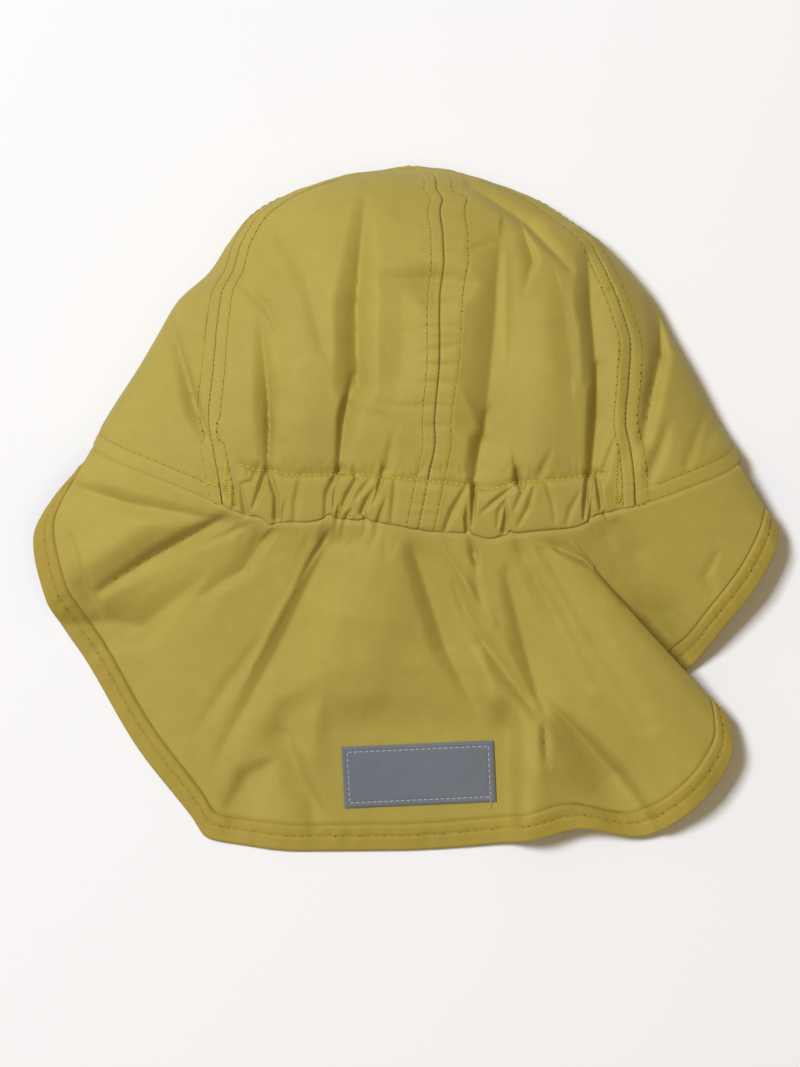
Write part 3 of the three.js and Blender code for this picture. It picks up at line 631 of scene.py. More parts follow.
def casing_height(angle):
    """From the rim up to the casing's stitched line."""
    turn = np.mod(angle, 360)
    return smooth_at(CASING_TOPS, casing_x(turn), "y") - rim_y(turn)


def casing_relief(x, angle, y):
    """The casing's creases less its puff, sqrt(1 - u^4) for u from -1 to 1 across it, which is
    lower in a crease. Above the stitched line the cloth sinks to it as exp(-(d / 1.6)^2), and
    below it as exp(-(d / 1.1)^2)."""
    rise, height = y - rim_y(angle), casing_height(angle)
    across = np.clip(2 * rise / height - 1, -1, 1)
    creases = crease_depth(CASING_CREASES, x, y)
    puff = CASING_PUFF * np.sqrt(1 - across**4) * (1 - 0.2 * np.minimum(creases, 3))
    above = rise - height
    sunk = 0.9 * bell(above, np.where(above > 0, 1.6, 1.1))
    return (creases + sunk - puff) * between(angle, RELIEF_ENDS)


def pucker_creases():
    """The puckers as creases, each from the right topstitching of the centre seam to the left."""
    y, fall, depth = PUCKERS.values()
    middle = PUCKER_X[0] - PUCKER_X[1] * smooth_step(y, 60, 0)
    reach = SEAM_ROW + PUCKER_SPREAD
    wide = np.full_like(y, PUCKER_SPREAD)
    columns = (middle + reach, y + fall, middle, y, middle - reach, y - fall / 2,
               depth * 0.5, depth, depth * 0.7, wide, wide, np.full_like(y, 0.3))
    return dict(zip(CREASE_NAMES.split(), columns))


PUCKER_CREASES = pucker_creases()


def crown_base(angle, y, creased=True):
    """x = centre + width cos(a). On the back z = fold + rise sin(a)^1.1 less the creases, and on
    the front z falls from the fold to the flat underside as (1 - |sin(a)| / flat)^2."""
    centre, fold, flat, *squares = smooth_at(
        RINGS, y, "centre", "fold", "flat", "width", "rise", "drop")
    width, rise, drop = (np.sqrt(np.maximum(0, square)) for square in squares)
    turn = np.radians(angle)
    sine = np.sin(turn)
    x = centre + width * np.cos(turn)
    lift = 1 - np.minimum(1, np.maximum(0, -sine) / flat)
    front = fold - drop * (1 - lift**2)
    creases = crease_depth(CROWN_CREASES, x, y) * smooth_step(y - rim_y(angle), *RIM_SETTLE)
    if creased:
        creases += casing_relief(x, np.mod(angle, 360), y) + crease_depth(GATHER_TUCKS, x, y)
        creases += crease_depth(CROWN_CRINKLES, x, y) + crease_depth(PUCKER_CREASES, x, y)
    back = fold + rise * np.maximum(0, sine) ** BACK_ROUNDNESS
    back -= creases * smooth_step(sine, *FOLD_SETTLE)
    return np.stack([x, y, np.where(sine < 0, front, back)], -1)


def normals_of(surface, p, q, step_p, step_q):
    """Unit cross product of the surface's two central differences."""
    along_p = surface(p + step_p, q) - surface(p - step_p, q)
    along_q = surface(p, q + step_q) - surface(p, q - step_q)
    return unit(np.cross(along_q, along_p))


def turn_speed(angle, y):
    """Millimetres along the crown for each degree."""
    return size_of(crown_base(angle + 0.5, y) - crown_base(angle - 0.5, y))


def row_offset(name, side, y):
    """Millimetres from a seam to its topstitched row on a side of -1 or 1. To the right of the
    centre seam the allowance widens upwards as far as the cross seam at the top."""
    widened = 3.4 * smooth_step(y, 20, 105) * (1 - smooth_step(y, 118, 121))
    return side * SEAM_ROW - (1 + widened if name == "centre" and side < 0 else 0)


def seam_relief(angle, y, speed):
    """Across each seam, at distance d: a raised allowance, a ditch exp(-(d / 0.45)^2), a groove
    under each topstitched row and small puckers along it that fade as exp(-(d / 6)^2)."""
    relief = np.zeros_like(y)
    for number, name in enumerate(SEAM_NAMES):
        seam = smooth_at(SEAMS, y, name)
        d = (np.mod(angle - seam + 180, 360) - 180) * speed
        for side in (-1, 1):
            row = row_offset(name, side, y)
            raised = smooth_step(d * side, -0.5, 0.5) * (1 - smooth_step(d / row, 0.92, 1.38))
            relief += SEAM_RISE * raised
            relief -= pressed(d - row, SEAM_GROOVE)
        relief -= pressed(d, SEAM_DITCH)
        wave = np.sin(y * 0.9 + 2 * np.sin(y * 0.23 + number)) + 0.6 * np.sin(y * 1.9 + number)
        relief += SEAM_PUCKER * wave * bell(d, 6)
    return relief


def crown_surface(angle, y):
    """The base moved along its normal by the seams, the rim's ditch and the stitched groove over
    the rim band, and tucked in below the rim. Returns the places and the normals."""
    base = crown_base(angle, y)
    normal = normals_of(crown_base, angle, y, 0.15, 0.15)
    rise = y - rim_y(angle)
    turn = np.mod(angle, 360)
    right, left = smooth_at(SEAMS, y, "right", "left")
    relief = seam_relief(angle, y, turn_speed(angle, y))
    relief -= pressed(rise, RIM_DITCH)
    relief -= 1.6 * smooth_step(-rise, 0, TUCK)
    relief -= np.where((turn > right) & (turn < left), 0, pressed(rise - BAND_STITCH, BAND_GROOVE))
    moved = base + relief[..., None] * normal
    moved[..., 2] = np.maximum(moved[..., 2], CROWN_FLOOR)
    return moved, normal


def flap_base(row, share):
    """x and y go straight along the ray. z = hem + (rim - hem) (1 - share)^fall less the creases,
    with the casing's gathers at the rim faded by exp(-(d / 6)^2), and is flat under the label."""
    angle, hem_x, hem_y, hem_z, fall = smooth_at(FLAP_RAYS, row, "angle", "x", "y", "z", "fall")
    rim = crown_base(angle, rim_y(angle), False)
    gathered = crown_base(angle, rim_y(angle))[..., 2] + CASING_PUFF * 0.4 - rim[..., 2]
    x = rim[..., 0] + (hem_x - rim[..., 0]) * share
    y = rim[..., 1] + (hem_y - rim[..., 1]) * share
    drape = hem_z + (rim[..., 2] - hem_z) * np.maximum(0, 1 - share) ** fall
    from_rim = np.hypot(x - rim[..., 0], y - rim[..., 1])
    drape += GATHER_SHARE * gathered * bell(from_rim, GATHER_REACH)
    upper = 1 - smooth_step(row, LAP_ROW - 0.5, LAP_ROW + 0.5)
    creases = crease_depth(FLAP_CREASES, x, y) + crease_depth(FLAP_TUCKS, x, y)
    creases = creases * upper + crease_depth(SIDE_CREASES, x, y) * (1 - upper)
    creases += crease_depth(FLAP_CRINKLES, x, y)
    settle = smooth_step(share, 0, 0.08)
    creased = drape - creases * settle
    creased = FLAP_FLOOR + np.logaddexp(0, (creased - FLAP_FLOOR) * FLOOR_BEND) / FLOOR_BEND
    bed = LABEL["z"] + LABEL["slope"] * (y - LABEL["y"])
    out_x = np.abs(x - LABEL["x"]) - LABEL["width"] / 2 - LABEL_MARGIN
    out_y = np.abs(y - LABEL["y"]) - LABEL["height"] / 2 - LABEL_MARGIN
    away = np.hypot(np.maximum(0, out_x) / LABEL_SIDE_FADE, np.maximum(0, out_y) / LABEL_FADE)
    flat = 1 - smooth_step(away, 0, 1)
    return np.stack([x, y, creased + (bed - creased) * flat], -1)


def ray_length(row):
    """From the rim straight to the hem's edge."""
    angle, *hem = smooth_at(FLAP_RAYS, row, "angle", "x", "y", "z")
    return size_of(crown_base(angle, rim_y(angle)) - np.stack(hem, -1))


def hem_share(row):
    """Where the hem starts on a ray: its width back from the end, or half way on a short ray."""
    return 1 - np.minimum(HEM_WIDTH / ray_length(row), 0.5)


def flap_surface(row, share):
    """The base moved along its normal by the rim's ditch and by the hem: a ditch at its seam, a
    groove under its stitches, a puff on either side and puckers along it."""
    base = flap_base(row, share)
    normal = normals_of(flap_base, row, share, 0.01, 0.002)
    length = ray_length(row)
    from_rim = share * length
    on_hem = (share - hem_share(row)) * length
    relief = -pressed(from_rim, FLAP_DITCH) - pressed(on_hem, HEM_DITCH)
    relief -= 1.8 * smooth_step(-from_rim, 0, TUCK)
    puff = smooth_step(on_hem, 0, 1.5) * (1 - 0.8 * bell(on_hem - HEM_STITCH, 0.7))
    place = row * 19
    pucker = np.sin(place + 2 * np.sin(place * 0.31)) + 0.7 * np.sin(place * 1.7 + 1)
    relief += HEM_PUFF * puff + HEM_PUCKER * pucker * bell(on_hem - HEM_STITCH, 4)
    return base + relief[..., None] * normal, normal


def run_of(points):
    """The distance along a line of places to each of them."""
    return np.concatenate([[0], np.cumsum(size_of(np.diff(points, axis=0)))])


def read_along(values, run, places):
    """The values, which belong to distances along a line, at other distances."""
    return np.stack([np.interp(places, run, column) for column in values.T], -1)


def even_rows(count, first, last):
    """Rows of the flap's fan at even distances, measured half at the rim and half at the hem."""
    row = np.linspace(first, last, 3000)
    run = run_of(flap_base(row, row * 0 + 0.02)) + run_of(flap_base(row, row * 0 + 0.98))
    return np.interp(np.linspace(0, run[-1], count), run, row)


# Meshes


def mesh_piece(name, points, faces, material, node=None):
    """A mesh of the points, in millimetres, turned so that its volume is positive."""
    faces = np.asarray(faces)
    corner = points[faces[:, :3]]
    volume = np.einsum("ij,ij->", corner[:, 0], np.cross(corner[:, 1], corner[:, 2]))
    if faces.shape[1] == 4:
        other = points[faces[:, [0, 2, 3]]]
        volume += np.einsum("ij,ij->", other[:, 0], np.cross(other[:, 1], other[:, 2]))
    if volume < 0:
        faces = faces[:, ::-1]
    mesh = bpy.data.meshes.new(name)
    mesh.from_pydata((points * MM).tolist(), [], faces.tolist())
    mesh.polygons.foreach_set("use_smooth", np.ones(len(faces), bool))
    mesh.set_sharp_from_angle(angle=math.radians(60))
    mesh.materials.append(material)
    mesh.update()
    piece = bpy.data.objects.new(name, mesh)
    bpy.context.scene.collection.objects.link(piece)
    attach(piece, "root")
    if node:
        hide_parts(node)
    return piece


def wall_faces(rows, columns):
    """Quads of an outer and an inner grid of rows by columns places, joined round their edges."""
    count = rows * columns
    index = np.arange(count).reshape(rows, columns)
    corners = [index[:-1, :-1], index[1:, :-1], index[1:, 1:], index[:-1, 1:]]
    sheet = np.stack(corners, -1).reshape(-1, 4)
    ring = np.concatenate([index[0, :-1], index[:-1, -1], index[-1, :0:-1], index[:0:-1, 0]])
    after = np.roll(ring, -1)
    edge = np.stack([ring, after, after + count, ring + count], -1)
    return np.concatenate([sheet, sheet[:, ::-1] + count, edge])


def shell_piece(name, outer, inner, material, node):
    """A closed mesh of an outer and an inner grid of places."""
    points = np.concatenate([outer.reshape(-1, 3), inner.reshape(-1, 3)])
    return mesh_piece(name, points, wall_faces(*outer.shape[:2]), material, node)


def cloth_wall(node, outer, normal, thickness):
    """A wall: the outer places, and the same moved inwards along the normals by the thickness."""
    inner = outer - normal * (thickness / MM)
    return shell_piece(node + "_cloth", outer, inner, yellow_cloth(), node)


def height_at(height, angle):
    """A height, which is a number or a function of the angle."""
    return height(angle) if callable(height) else height


def crown_patch(first, last, bottom, top, columns, rows, crowd):
    """Angles and Y of a patch between two seams, each a name and a turn to add: shares across, and
    heights over the rim, each a number or a function of the angle, that crowd towards the apex by
    sin(share * pi / 2) where crowd is true."""
    across, along = np.meshgrid(np.linspace(0, 1, columns), np.linspace(0, 1, rows))
    along = np.sin(along * math.pi / 2) if crowd else along
    y = np.full_like(across, 10)
    for _ in range(8):
        start = smooth_at(SEAMS, y, first[0]) + first[1]
        end = smooth_at(SEAMS, y, last[0]) + last[1]
        angle = start + (end - start) * (0.0005 + 0.999 * across)
        low = rim_y(angle) + height_at(bottom, angle)
        high = np.minimum(rim_y(angle) + height_at(top, angle), CROWN_END)
        y = low + (high - low) * along
    return angle, y


# Materials


def node_group(name, sockets):
    """A shader node group with its sockets: (name, in or out, socket type, default)."""
    group = bpy.data.node_groups.new(name, "ShaderNodeTree")
    for label, way, kind, default in sockets:
        socket = group.interface.new_socket(name=label, in_out=way, socket_type=kind)
        if default is not None:
            socket.default_value = default
    return group, group.nodes.new("NodeGroupInput"), group.nodes.new("NodeGroupOutput")


def feed(tree, value, socket):
    """Link another socket to the socket, or set a constant value on it."""
    if hasattr(value, "links"):
        tree.links.new(value, socket)
    else:
        socket.default_value = value


def texture(tree, kind, vector, scale, **settings):
    """A texture node with its vector and scale, and its settings by the names of its inputs or of
    its properties."""
    node = tree.nodes.new(kind)
    feed(tree, vector, node.inputs["Vector"])
    feed(tree, scale, node.inputs["Scale"])
    for name, value in settings.items():
        if name in node.inputs:
            node.inputs[name].default_value = value
        else:
            setattr(node, name, value)
    return node


def maths(tree, operation, first, second):
    """A maths node of two values or sockets."""
    node = tree.nodes.new("ShaderNodeMath")
    node.operation = operation
    feed(tree, first, node.inputs[0])
    feed(tree, second, node.inputs[1])
    return node.outputs[0]


def cloth_group():
    """Cloth: two crossing thread waves and a fine grain make the height, and two clouds of noise,
    one broad and one small, make the shade."""
    group, start, end = node_group("Cloth surface", (
        ("Vector", "INPUT", "NodeSocketVector", None),
        ("Threads", "INPUT", "NodeSocketFloat", 600.0),
        ("Grain", "INPUT", "NodeSocketFloat", 0.5),
        ("Shade", "OUTPUT", "NodeSocketFloat", None),
        ("Height", "OUTPUT", "NodeSocketFloat", None),
    ))
    place, threads = start.outputs["Vector"], start.outputs["Threads"]
    warp, weft = (
        texture(group, "ShaderNodeTexWave", place, threads, bands_direction=way,
                Distortion=0.6, Detail=1.0).outputs["Fac"] for way in "XY")
    grain, crinkle, broad = (
        texture(group, "ShaderNodeTexNoise", place, scale, Detail=detail,
                Roughness=roughness).outputs["Fac"]
        for scale, detail, roughness in ((1500.0, 3.0, 0.5), (170.0, 4.0, 0.6), (22.0, 3.0, 0.5)))
    woven = maths(group, "MULTIPLY", maths(group, "ADD", warp, weft), 0.35)
    fine = maths(group, "ADD", woven, maths(group, "MULTIPLY", grain, start.outputs["Grain"]))
    height = maths(group, "ADD", fine, maths(group, "MULTIPLY", crinkle, 1.6))
    shade = maths(group, "ADD", maths(group, "MULTIPLY", broad, 0.6),
                  maths(group, "MULTIPLY", crinkle, 0.4))
    feed(group, height, end.inputs["Height"])
    feed(group, shade, end.inputs["Shade"])
    return group


def cloth_material(name, colour, threads, grain, roughness, sheen, bump):
    """Cloth whose base colour swings a little between a darker and a lighter shade."""
    material = bpy.data.materials.new(name)
    material.use_nodes = True
    nodes, links = material.node_tree.nodes, material.node_tree.links
    shader = nodes["Principled BSDF"]
    place = nodes.new("ShaderNodeTexCoord").outputs["Object"]
    cloth = nodes.new("ShaderNodeGroup")
    cloth.node_tree = bpy.data.node_groups.get("Cloth surface") or cloth_group()
    cloth.inputs["Threads"].default_value = threads
    cloth.inputs["Grain"].default_value = grain
    links.new(place, cloth.inputs["Vector"])
    ramp = nodes.new("ShaderNodeValToRGB")
    ramp.color_ramp.elements[0].position = 0.3
    ramp.color_ramp.elements[1].position = 0.7
    ramp.color_ramp.elements[0].color = (*(0.9 * part for part in colour), 1)
    ramp.color_ramp.elements[1].color = (*(min(1, 1.06 * part) for part in colour), 1)
    links.new(cloth.outputs["Shade"], ramp.inputs["Fac"])
    links.new(ramp.outputs["Color"], shader.inputs["Base Color"])
    height = nodes.new("ShaderNodeBump")
    height.inputs["Strength"].default_value = bump
    height.inputs["Distance"].default_value = 0.1 * MM
    links.new(cloth.outputs["Height"], height.inputs["Height"])
    links.new(height.outputs["Normal"], shader.inputs["Normal"])
    finish = {"Roughness": roughness, "Sheen Weight": sheen, "Sheen Roughness": 0.4,
              "Specular IOR Level": 0.3}
    for socket, value in finish.items():
        shader.inputs[socket].default_value = value
    return material


def yellow_cloth(name="yellow_cloth_woven"):
    """The yellow cloth, or by its own name the folded hem's: darker and more orange, partly the
    doubled cloth's deeper colour and partly painted shade on its lit puff.
    """
    colour = bpy.context.scene.hat_colours.cloth
    if name == "yellow_hem_deep_and_shaded":
        # Painted shade: the hem's colour is darkened to tone down the light on its puff, as well
        # as deepened for the doubled cloth
        colour = [part * share for part, share in zip(colour, (0.93, 0.87, 0.72))]
    found = bpy.data.materials.get(name)
    return found or cloth_material(name, colour, 700.0, 0.8, 0.7, 0.1, 0.5)


def thread_material(name, colour):
    """Thread: the cloth's pattern, much finer, and a slight shine."""
    found = bpy.data.materials.get(name)
    return found or cloth_material(name, colour, 2500.0, 1.0, 0.5, 0.3, 0.6)


# Stitches


# Places round a thread or a needle hole
RING_SIDES = 6
RING_TURN = np.linspace(0, 2 * math.pi, RING_SIDES + 1)[:-1, None]
RING_ACROSS, RING_UP = np.cos(RING_TURN), np.sin(RING_TURN)


def stitch_row(points, normals, pitch, thickness, fill=0.78, sink=0.25):
    """Stitches along a line of places, each as long as the pitch by fill: a bar of rings, with
    radius sqrt(1 - u^4) along its length u from -1 to 1, whose ends sink into the cloth."""
    run = run_of(points)
    count = max(1, int(run[-1] / pitch))
    middle = (np.arange(count) + 0.5) * run[-1] / count
    u = np.array([-1, -0.92, -0.6, 0, 0.6, 0.92, 1])
    places = middle[:, None] + u * fill * run[-1] / count / 2
    at, up = read_along(points, run, places), read_along(normals, run, places)
    side = unit(np.cross(unit(at[:, -1:] - at[:, :1]), up))
    radius = thickness / 2 * np.sqrt(np.maximum(0.02, 1 - u**4))
    lift = thickness * (0.42 - sink * u**6 * 3)
    centre = at + up * lift[None, :, None]
    out = side[:, :, None] * RING_ACROSS * 1.15 + up[:, :, None] * RING_UP
    rings = centre[:, :, None] + out * radius[None, :, None, None]
    return rings.reshape(-1, 3), stitch_faces(count, len(u), RING_SIDES)


def stitch_faces(count, rings, sides):
    """Quads between the rings of each stitch, and both ends closed by quads."""
    index = np.arange(rings * sides).reshape(rings, sides)
    after = np.roll(index, -1, axis=1)
    tube = np.stack([index[:-1], after[:-1], after[1:], index[1:]], -1).reshape(-1, 4)
    caps = np.array([(3, 2, 1, 0), (5, 4, 3, 0)])
    ends = np.concatenate([caps, caps[:, ::-1] + (rings - 1) * sides])
    one = np.concatenate([tube, ends])
    return (one[None] + (np.arange(count) * rings * sides)[:, None, None]).reshape(-1, 4)


def needle_hole_shades(points, normals, pitch, width):
    """A small dark lens of painted shade, standing in for the shadow inside a needle hole: twelve
    triangles in two fans, at each end of a row's stitches.
    """
    run = run_of(points)
    count = max(1, int(run[-1] / pitch))
    places = np.linspace(0, run[-1], count + 1)
    at, up = read_along(points, run, places), read_along(normals, run, places)
    side = unit(np.cross(up, np.array([0.3, 1.0, 0.1])))
    rim = side[:, None] * RING_ACROSS + np.cross(up, side)[:, None] * RING_UP
    rim = at[:, None] + rim * width / 2
    lens = np.concatenate([rim, (at + up * 0.1)[:, None], (at - up * 0.25)[:, None]], axis=1)
    ring = np.arange(RING_SIDES)
    after = np.roll(ring, -1)
    top, bottom = np.full(RING_SIDES, RING_SIDES), np.full(RING_SIDES, RING_SIDES + 1)
    fans = np.concatenate([np.stack([ring, after, top], -1), np.stack([after, ring, bottom], -1)])
    faces = fans[None] + (np.arange(count + 1) * (RING_SIDES + 2))[:, None, None]
    return lens.reshape(-1, 3), faces.reshape(-1, 3)


def stitch_piece(name, rows, material):
    """One mesh of several rows of stitches."""
    points, faces, start = [], [], 0
    for row_points, row_faces in rows:
        points.append(row_points)
        faces.append(row_faces + start)
        start += len(row_points)
    return mesh_piece(name, np.concatenate(points), np.concatenate(faces), material)


def seam_line(name, side, low, high, count=400):
    """A line along a seam or one of its topstitched rows, for a side of 0, -1 or 1, from one
    height over the rim to a Y."""
    seam = smooth_at(SEAMS, np.zeros(1), name)
    bottom = rim_y(seam)[0] + low
    y = bottom + (high - bottom) * np.sin(np.linspace(0, 1, count) * math.pi / 2)
    angle = smooth_at(SEAMS, y, name)
    if side:
        angle = angle + row_offset(name, side, y) / turn_speed(angle, y)
    return crown_surface(angle, y)


def rim_line(first, last, rise, count=600):
    """A line at a height over the rim, a number or a function of the angle, between two angles."""
    angle = np.linspace(first, last, count)
    return crown_surface(angle, rim_y(angle) + height_at(rise, angle))


def crown_at(x, y):
    """The back's places and normals over x and y."""
    centre, width = smooth_at(RINGS, y, "centre", "width")
    return crown_surface(np.degrees(np.arccos((x - centre) / np.sqrt(width))), y)


def thread_curl(x, y, radius, turns):
    """A loose loop of thread on the crown, a spiral whose radius shrinks by half."""
    turn = np.linspace(0, 2 * math.pi * turns, 80)
    shrunk = radius * (1 - 0.5 * turn / turn[-1])
    points, normals = crown_at(x + shrunk * np.cos(turn), y + shrunk * np.sin(turn))
    lift = 0.25 + 0.5 * np.sin(turn / turn[-1] * math.pi)
    return stitch_row(points + normals * lift[:, None], normals, 0.8, 0.3, 1.1, 0)


def bar_tack(x, low, high, width, turns):
    """A zigzag of thread up the crown: across it x swings by half the width, turns times."""
    count = turns * 2
    share = np.linspace(0, 1, count + 1)
    swing = np.where(np.arange(count + 1) % 2, 0.5, -0.5) * width
    points, normals = crown_at(x + swing, low + (high - low) * share)
    turns_at, fine = np.arange(count + 1), np.linspace(0, count, count * 4 + 1)
    points, normals = read_along(points, turns_at, fine), read_along(normals, turns_at, fine)
    length = size_of(np.diff(points, axis=0)).sum()
    return stitch_row(points + normals * 0.15, normals, length / count, 0.34, 0.98)


# Operators


class HAT_OT_crown(bpy.types.Operator):
    """Six crown panels, each a wall between two seams"""
    bl_idname = "hat.crown"
    bl_label = "Crown panels"

    def execute(self, context):
        # The node, its two seams with a turn to add, its lower edge, and its columns and rows
        panels = (
            ("crown_back_right", ("right", 0), ("centre", 0), casing_height, 140, 190),
            ("crown_back_left", ("centre", 0), ("left", 0), casing_height, 140, 190),
            ("crown_side_left", ("left", 0), ("front_left", 0), BAND_HEIGHT, 80, 130),
            ("crown_front_left", ("front_left", 0), ("front", 0), BAND_HEIGHT, 60, 100),
            ("crown_front_right", ("front", 0), ("front_right", 0), BAND_HEIGHT, 60, 100),
            ("crown_side_right", ("front_right", 0), ("right", 360), BAND_HEIGHT, 80, 130),
        )
        for node, first, last, edge, columns, rows in panels:
            angle, y = crown_patch(first, last, edge, math.inf, columns, rows, True)
            cloth_wall(node, *crown_surface(angle, y), context.scene.hat_sizes.panel_wall)
        return {"FINISHED"}


class HAT_OT_rim(bpy.types.Operator):
    """The gathered casing at the back of the rim and the plain band round the rest"""
    bl_idname = "hat.rim"
    bl_label = "Casing and rim band"

    def execute(self, context):
        # The node, its two seams with a turn to add, its height, and its columns and rows
        strips = (
            ("elastic_casing", ("right", 0), ("left", 0), casing_height, 560, 56),
            ("rim_band", ("left", 0), ("right", 360), BAND_HEIGHT, 420, 20),
        )
        for node, first, last, height, columns, rows in strips:
            angle, y = crown_patch(first, last, -TUCK, height, columns, rows, False)
            cloth_wall(node, *crown_surface(angle, y), context.scene.hat_sizes.panel_wall)
        return {"FINISHED"}


class HAT_OT_flap(bpy.types.Operator):
    """The neck flap and its hem"""
    bl_idname = "hat.flap"
    bl_label = "Neck flap and hem"

    def execute(self, context):
        sizes = context.scene.hat_sizes
        rows = even_rows(330, 0, 22)
        row, along = np.meshgrid(rows, np.linspace(0, 1, 120))
        tuck = -TUCK / ray_length(row)
        share = tuck + (hem_share(row) - tuck) * along
        flap = cloth_wall("neck_flap", *flap_surface(row, share), sizes.flap_wall)
        row, along = np.meshgrid(rows, np.linspace(0, 1, 24))
        share = hem_share(row) + (1 - hem_share(row)) * (0.001 + 0.999 * along)
        outer, normal = flap_surface(row, share)
        rounded = np.sqrt(np.maximum(0, 1 - smooth_step(along, 0.9, 1.0) ** 2))
        half = sizes.hem_wall / MM / 2
        middle = outer - normal * half
        out = normal * (half * np.maximum(rounded, 0.05))[..., None]
        # The hem's material holds painted shade that darkens it against the light on its puff
        hem = shell_piece("flap_hem_cloth", middle + out, middle - out,
                          yellow_cloth("yellow_hem_deep_and_shaded"), "flap_hem")
        return {"FINISHED"}


class HAT_OT_peak(bpy.types.Operator):
    """The peak, a padded crescent flat on the surface"""
    bl_idname = "hat.peak"
    bl_label = "Peak"

    def execute(self, context):
        share, out = np.meshgrid(np.linspace(0.001, 0.999, 160), np.linspace(0, 1, 60))
        angle = PEAK["from"] + (PEAK["to"] - PEAK["from"]) * share
        rim = crown_base(angle, rim_y(angle))
        bulge = np.sqrt(1 - (2 * share - 1) ** 2)
        reach = PEAK["length"] * bulge
        y = rim[..., 1] - PEAK["gap"] - reach * out
        half = PEAK["thickness"] / 2
        from_edge = np.minimum(reach * (1 - out), 60 * np.minimum(share, 1 - share))
        edge = np.sqrt(1 - (1 - np.clip(from_edge / 2.2, 0, 1)) ** 2)
        groove = sum(pressed(from_edge - place, PEAK_GROOVE) for place in (5, 12, 19))
        top = np.stack([rim[..., 0], y, half + half * edge - groove], -1)
        bottom = np.stack([rim[..., 0], y, half - half * edge + groove * 0.5], -1)
        shell_piece("peak_cloth", top, bottom, yellow_cloth(), "peak")
        return {"FINISHED"}


def label_place(across, along):
    """Places at distances across and along the label's underside, which is turned and tilted like
    its bed, and its normal."""
    turn, tilt = math.radians(LABEL["turn"]), math.atan(LABEL["slope"])
    right = np.array([math.cos(turn), math.sin(turn), 0])
    up = np.array([-math.sin(turn), math.cos(turn), 0])
    slope = np.array([[1, 0, 0], [0, math.cos(tilt), -math.sin(tilt)],
                      [0, math.sin(tilt), math.cos(tilt)]])
    right, up = slope @ right, slope @ up
    normal = np.cross(right, up)
    centre = np.array([LABEL["x"], LABEL["y"], LABEL["z"] + 0.3])
    return centre + across[..., None] * right + along[..., None] * up, normal


class HAT_OT_label(bpy.types.Operator):
    """The bare woven label with its stitched border and a loose thread end"""
    bl_idname = "hat.label"
    bl_label = "Label"

    def execute(self, context):
        colours = context.scene.hat_colours
        grey = cloth_material("grey_label_woven", colours.label, 900.0, 1.4, 0.85, 0.3, 0.9)
        across, along = np.meshgrid(np.linspace(-1, 1, 150), np.linspace(-1, 1, 64))
        half_x, half_y = LABEL["width"] / 2, LABEL["height"] / 2
        flat, normal = label_place(across * half_x, along * half_y)
        edge = np.minimum((1 - np.abs(across)) * half_x, (1 - np.abs(along)) * half_y)
        height = LABEL_THICKNESS - pressed(edge, LABEL_EDGE)
        height -= pressed(edge - LABEL_INSET, LABEL_GROOVE)
        height += 0.05 * np.sin(across * 14) * np.sin(along * 6 + 1)
        top = flat + height[..., None] * normal
        shell_piece("label_patch_woven", top, flat, grey, "label_patch")
        inset_x, inset_y = half_x - LABEL_INSET, half_y - LABEL_INSET
        corners = ((-inset_x, -inset_y), (inset_x, -inset_y), (inset_x, inset_y),
                   (-inset_x, inset_y), (-inset_x, -inset_y))
        rows = []
        for (x0, y0), (x1, y1) in zip(corners, corners[1:]):
            t = np.linspace(0, 1, 60)
            line, up = label_place(x0 + (x1 - x0) * t, y0 + (y1 - y0) * t)
            line = line + up * 0.72
            rows.append(stitch_row(line, np.broadcast_to(up, line.shape), 2.1, 0.32))
        t = np.linspace(0, 1, 30)
        line, up = label_place(inset_x - 0.4 + 0.5 * np.sin(t * 4), -inset_y - 5 * t)
        line = line + up * (0.9 - 0.7 * t[:, None])
        rows.append(stitch_row(line, np.broadcast_to(up, line.shape), 0.9, 0.28, 1.1, 0))
        thread = thread_material("label_thread_light", colours.label_thread)
        stitch_piece("label_stitches", rows, thread)
        return {"FINISHED"}


class HAT_OT_stitches(bpy.types.Operator):
    """Topstitching on the seams, the casing, the rim band and the hem"""
    bl_idname = "hat.stitches"
    bl_label = "Stitches"

    def execute(self, context):
        sizes, colours = context.scene.hat_sizes, context.scene.hat_colours
        pitch, thread = sizes.pitch / MM, sizes.thread / MM
        lines = [seam_line(name, side, 1, 126) for name in SEAM_NAMES for side in (-1, 1)]
        lines.append(rim_line(126, 405, BAND_STITCH))
        seam_thread = thread_material("seam_thread_yellow", colours.seam_thread)
        # The dark thread of the seam lines, also used for the painted shade at each needle hole
        dark_thread_and_hole_shade = thread_material("seam_thread_dark_and_hole_shade", colours.dark_thread_and_hole_shade)
        rows = [stitch_row(*line, pitch, thread, 0.86) for line in lines]
        stitch_piece("seam_stitches", rows, seam_thread)
        row = even_rows(1400, 0.3, 21.8)
        share = hem_share(row) + HEM_STITCH / ray_length(row)
        hem_line = flap_surface(row, share)
        hem = stitch_row(*hem_line, pitch, thread, 0.86)
        stitch_piece("hem_stitches", [hem], seam_thread)
        # Dark lenses of painted shade at each needle hole of the rows
        hole_shades = [needle_hole_shades(*line, pitch, 0.85) for line in (*lines, hem_line)]
        stitch_piece("needle_hole_shades", hole_shades, dark_thread_and_hole_shade)
        seams = [stitch_row(*seam_line(name, 0, 0.5, 127), 1.9, 0.24, 0.74) for name in SEAM_NAMES]
        joins = [stitch_row(*rim_line(first, last, 0.1), 2.2, 0.24, 0.78)
                 for first, last in ((123, 268), (272, 413))]
        stitch_piece("seam_line_stitches", seams + joins, dark_thread_and_hole_shade)
        bright = thread_material("casing_thread_yellow", colours.bright_thread)
        casing = stitch_row(*rim_line(57, 121, casing_height), 2.2, thread * 1.2)
        tacks = [bar_tack(*place) for place in BAR_TACKS]
        curls = [thread_curl(*place) for place in THREAD_CURLS]
        stitch_piece("casing_stitches", [casing, *tacks, *curls], bright)
        return {"FINISHED"}


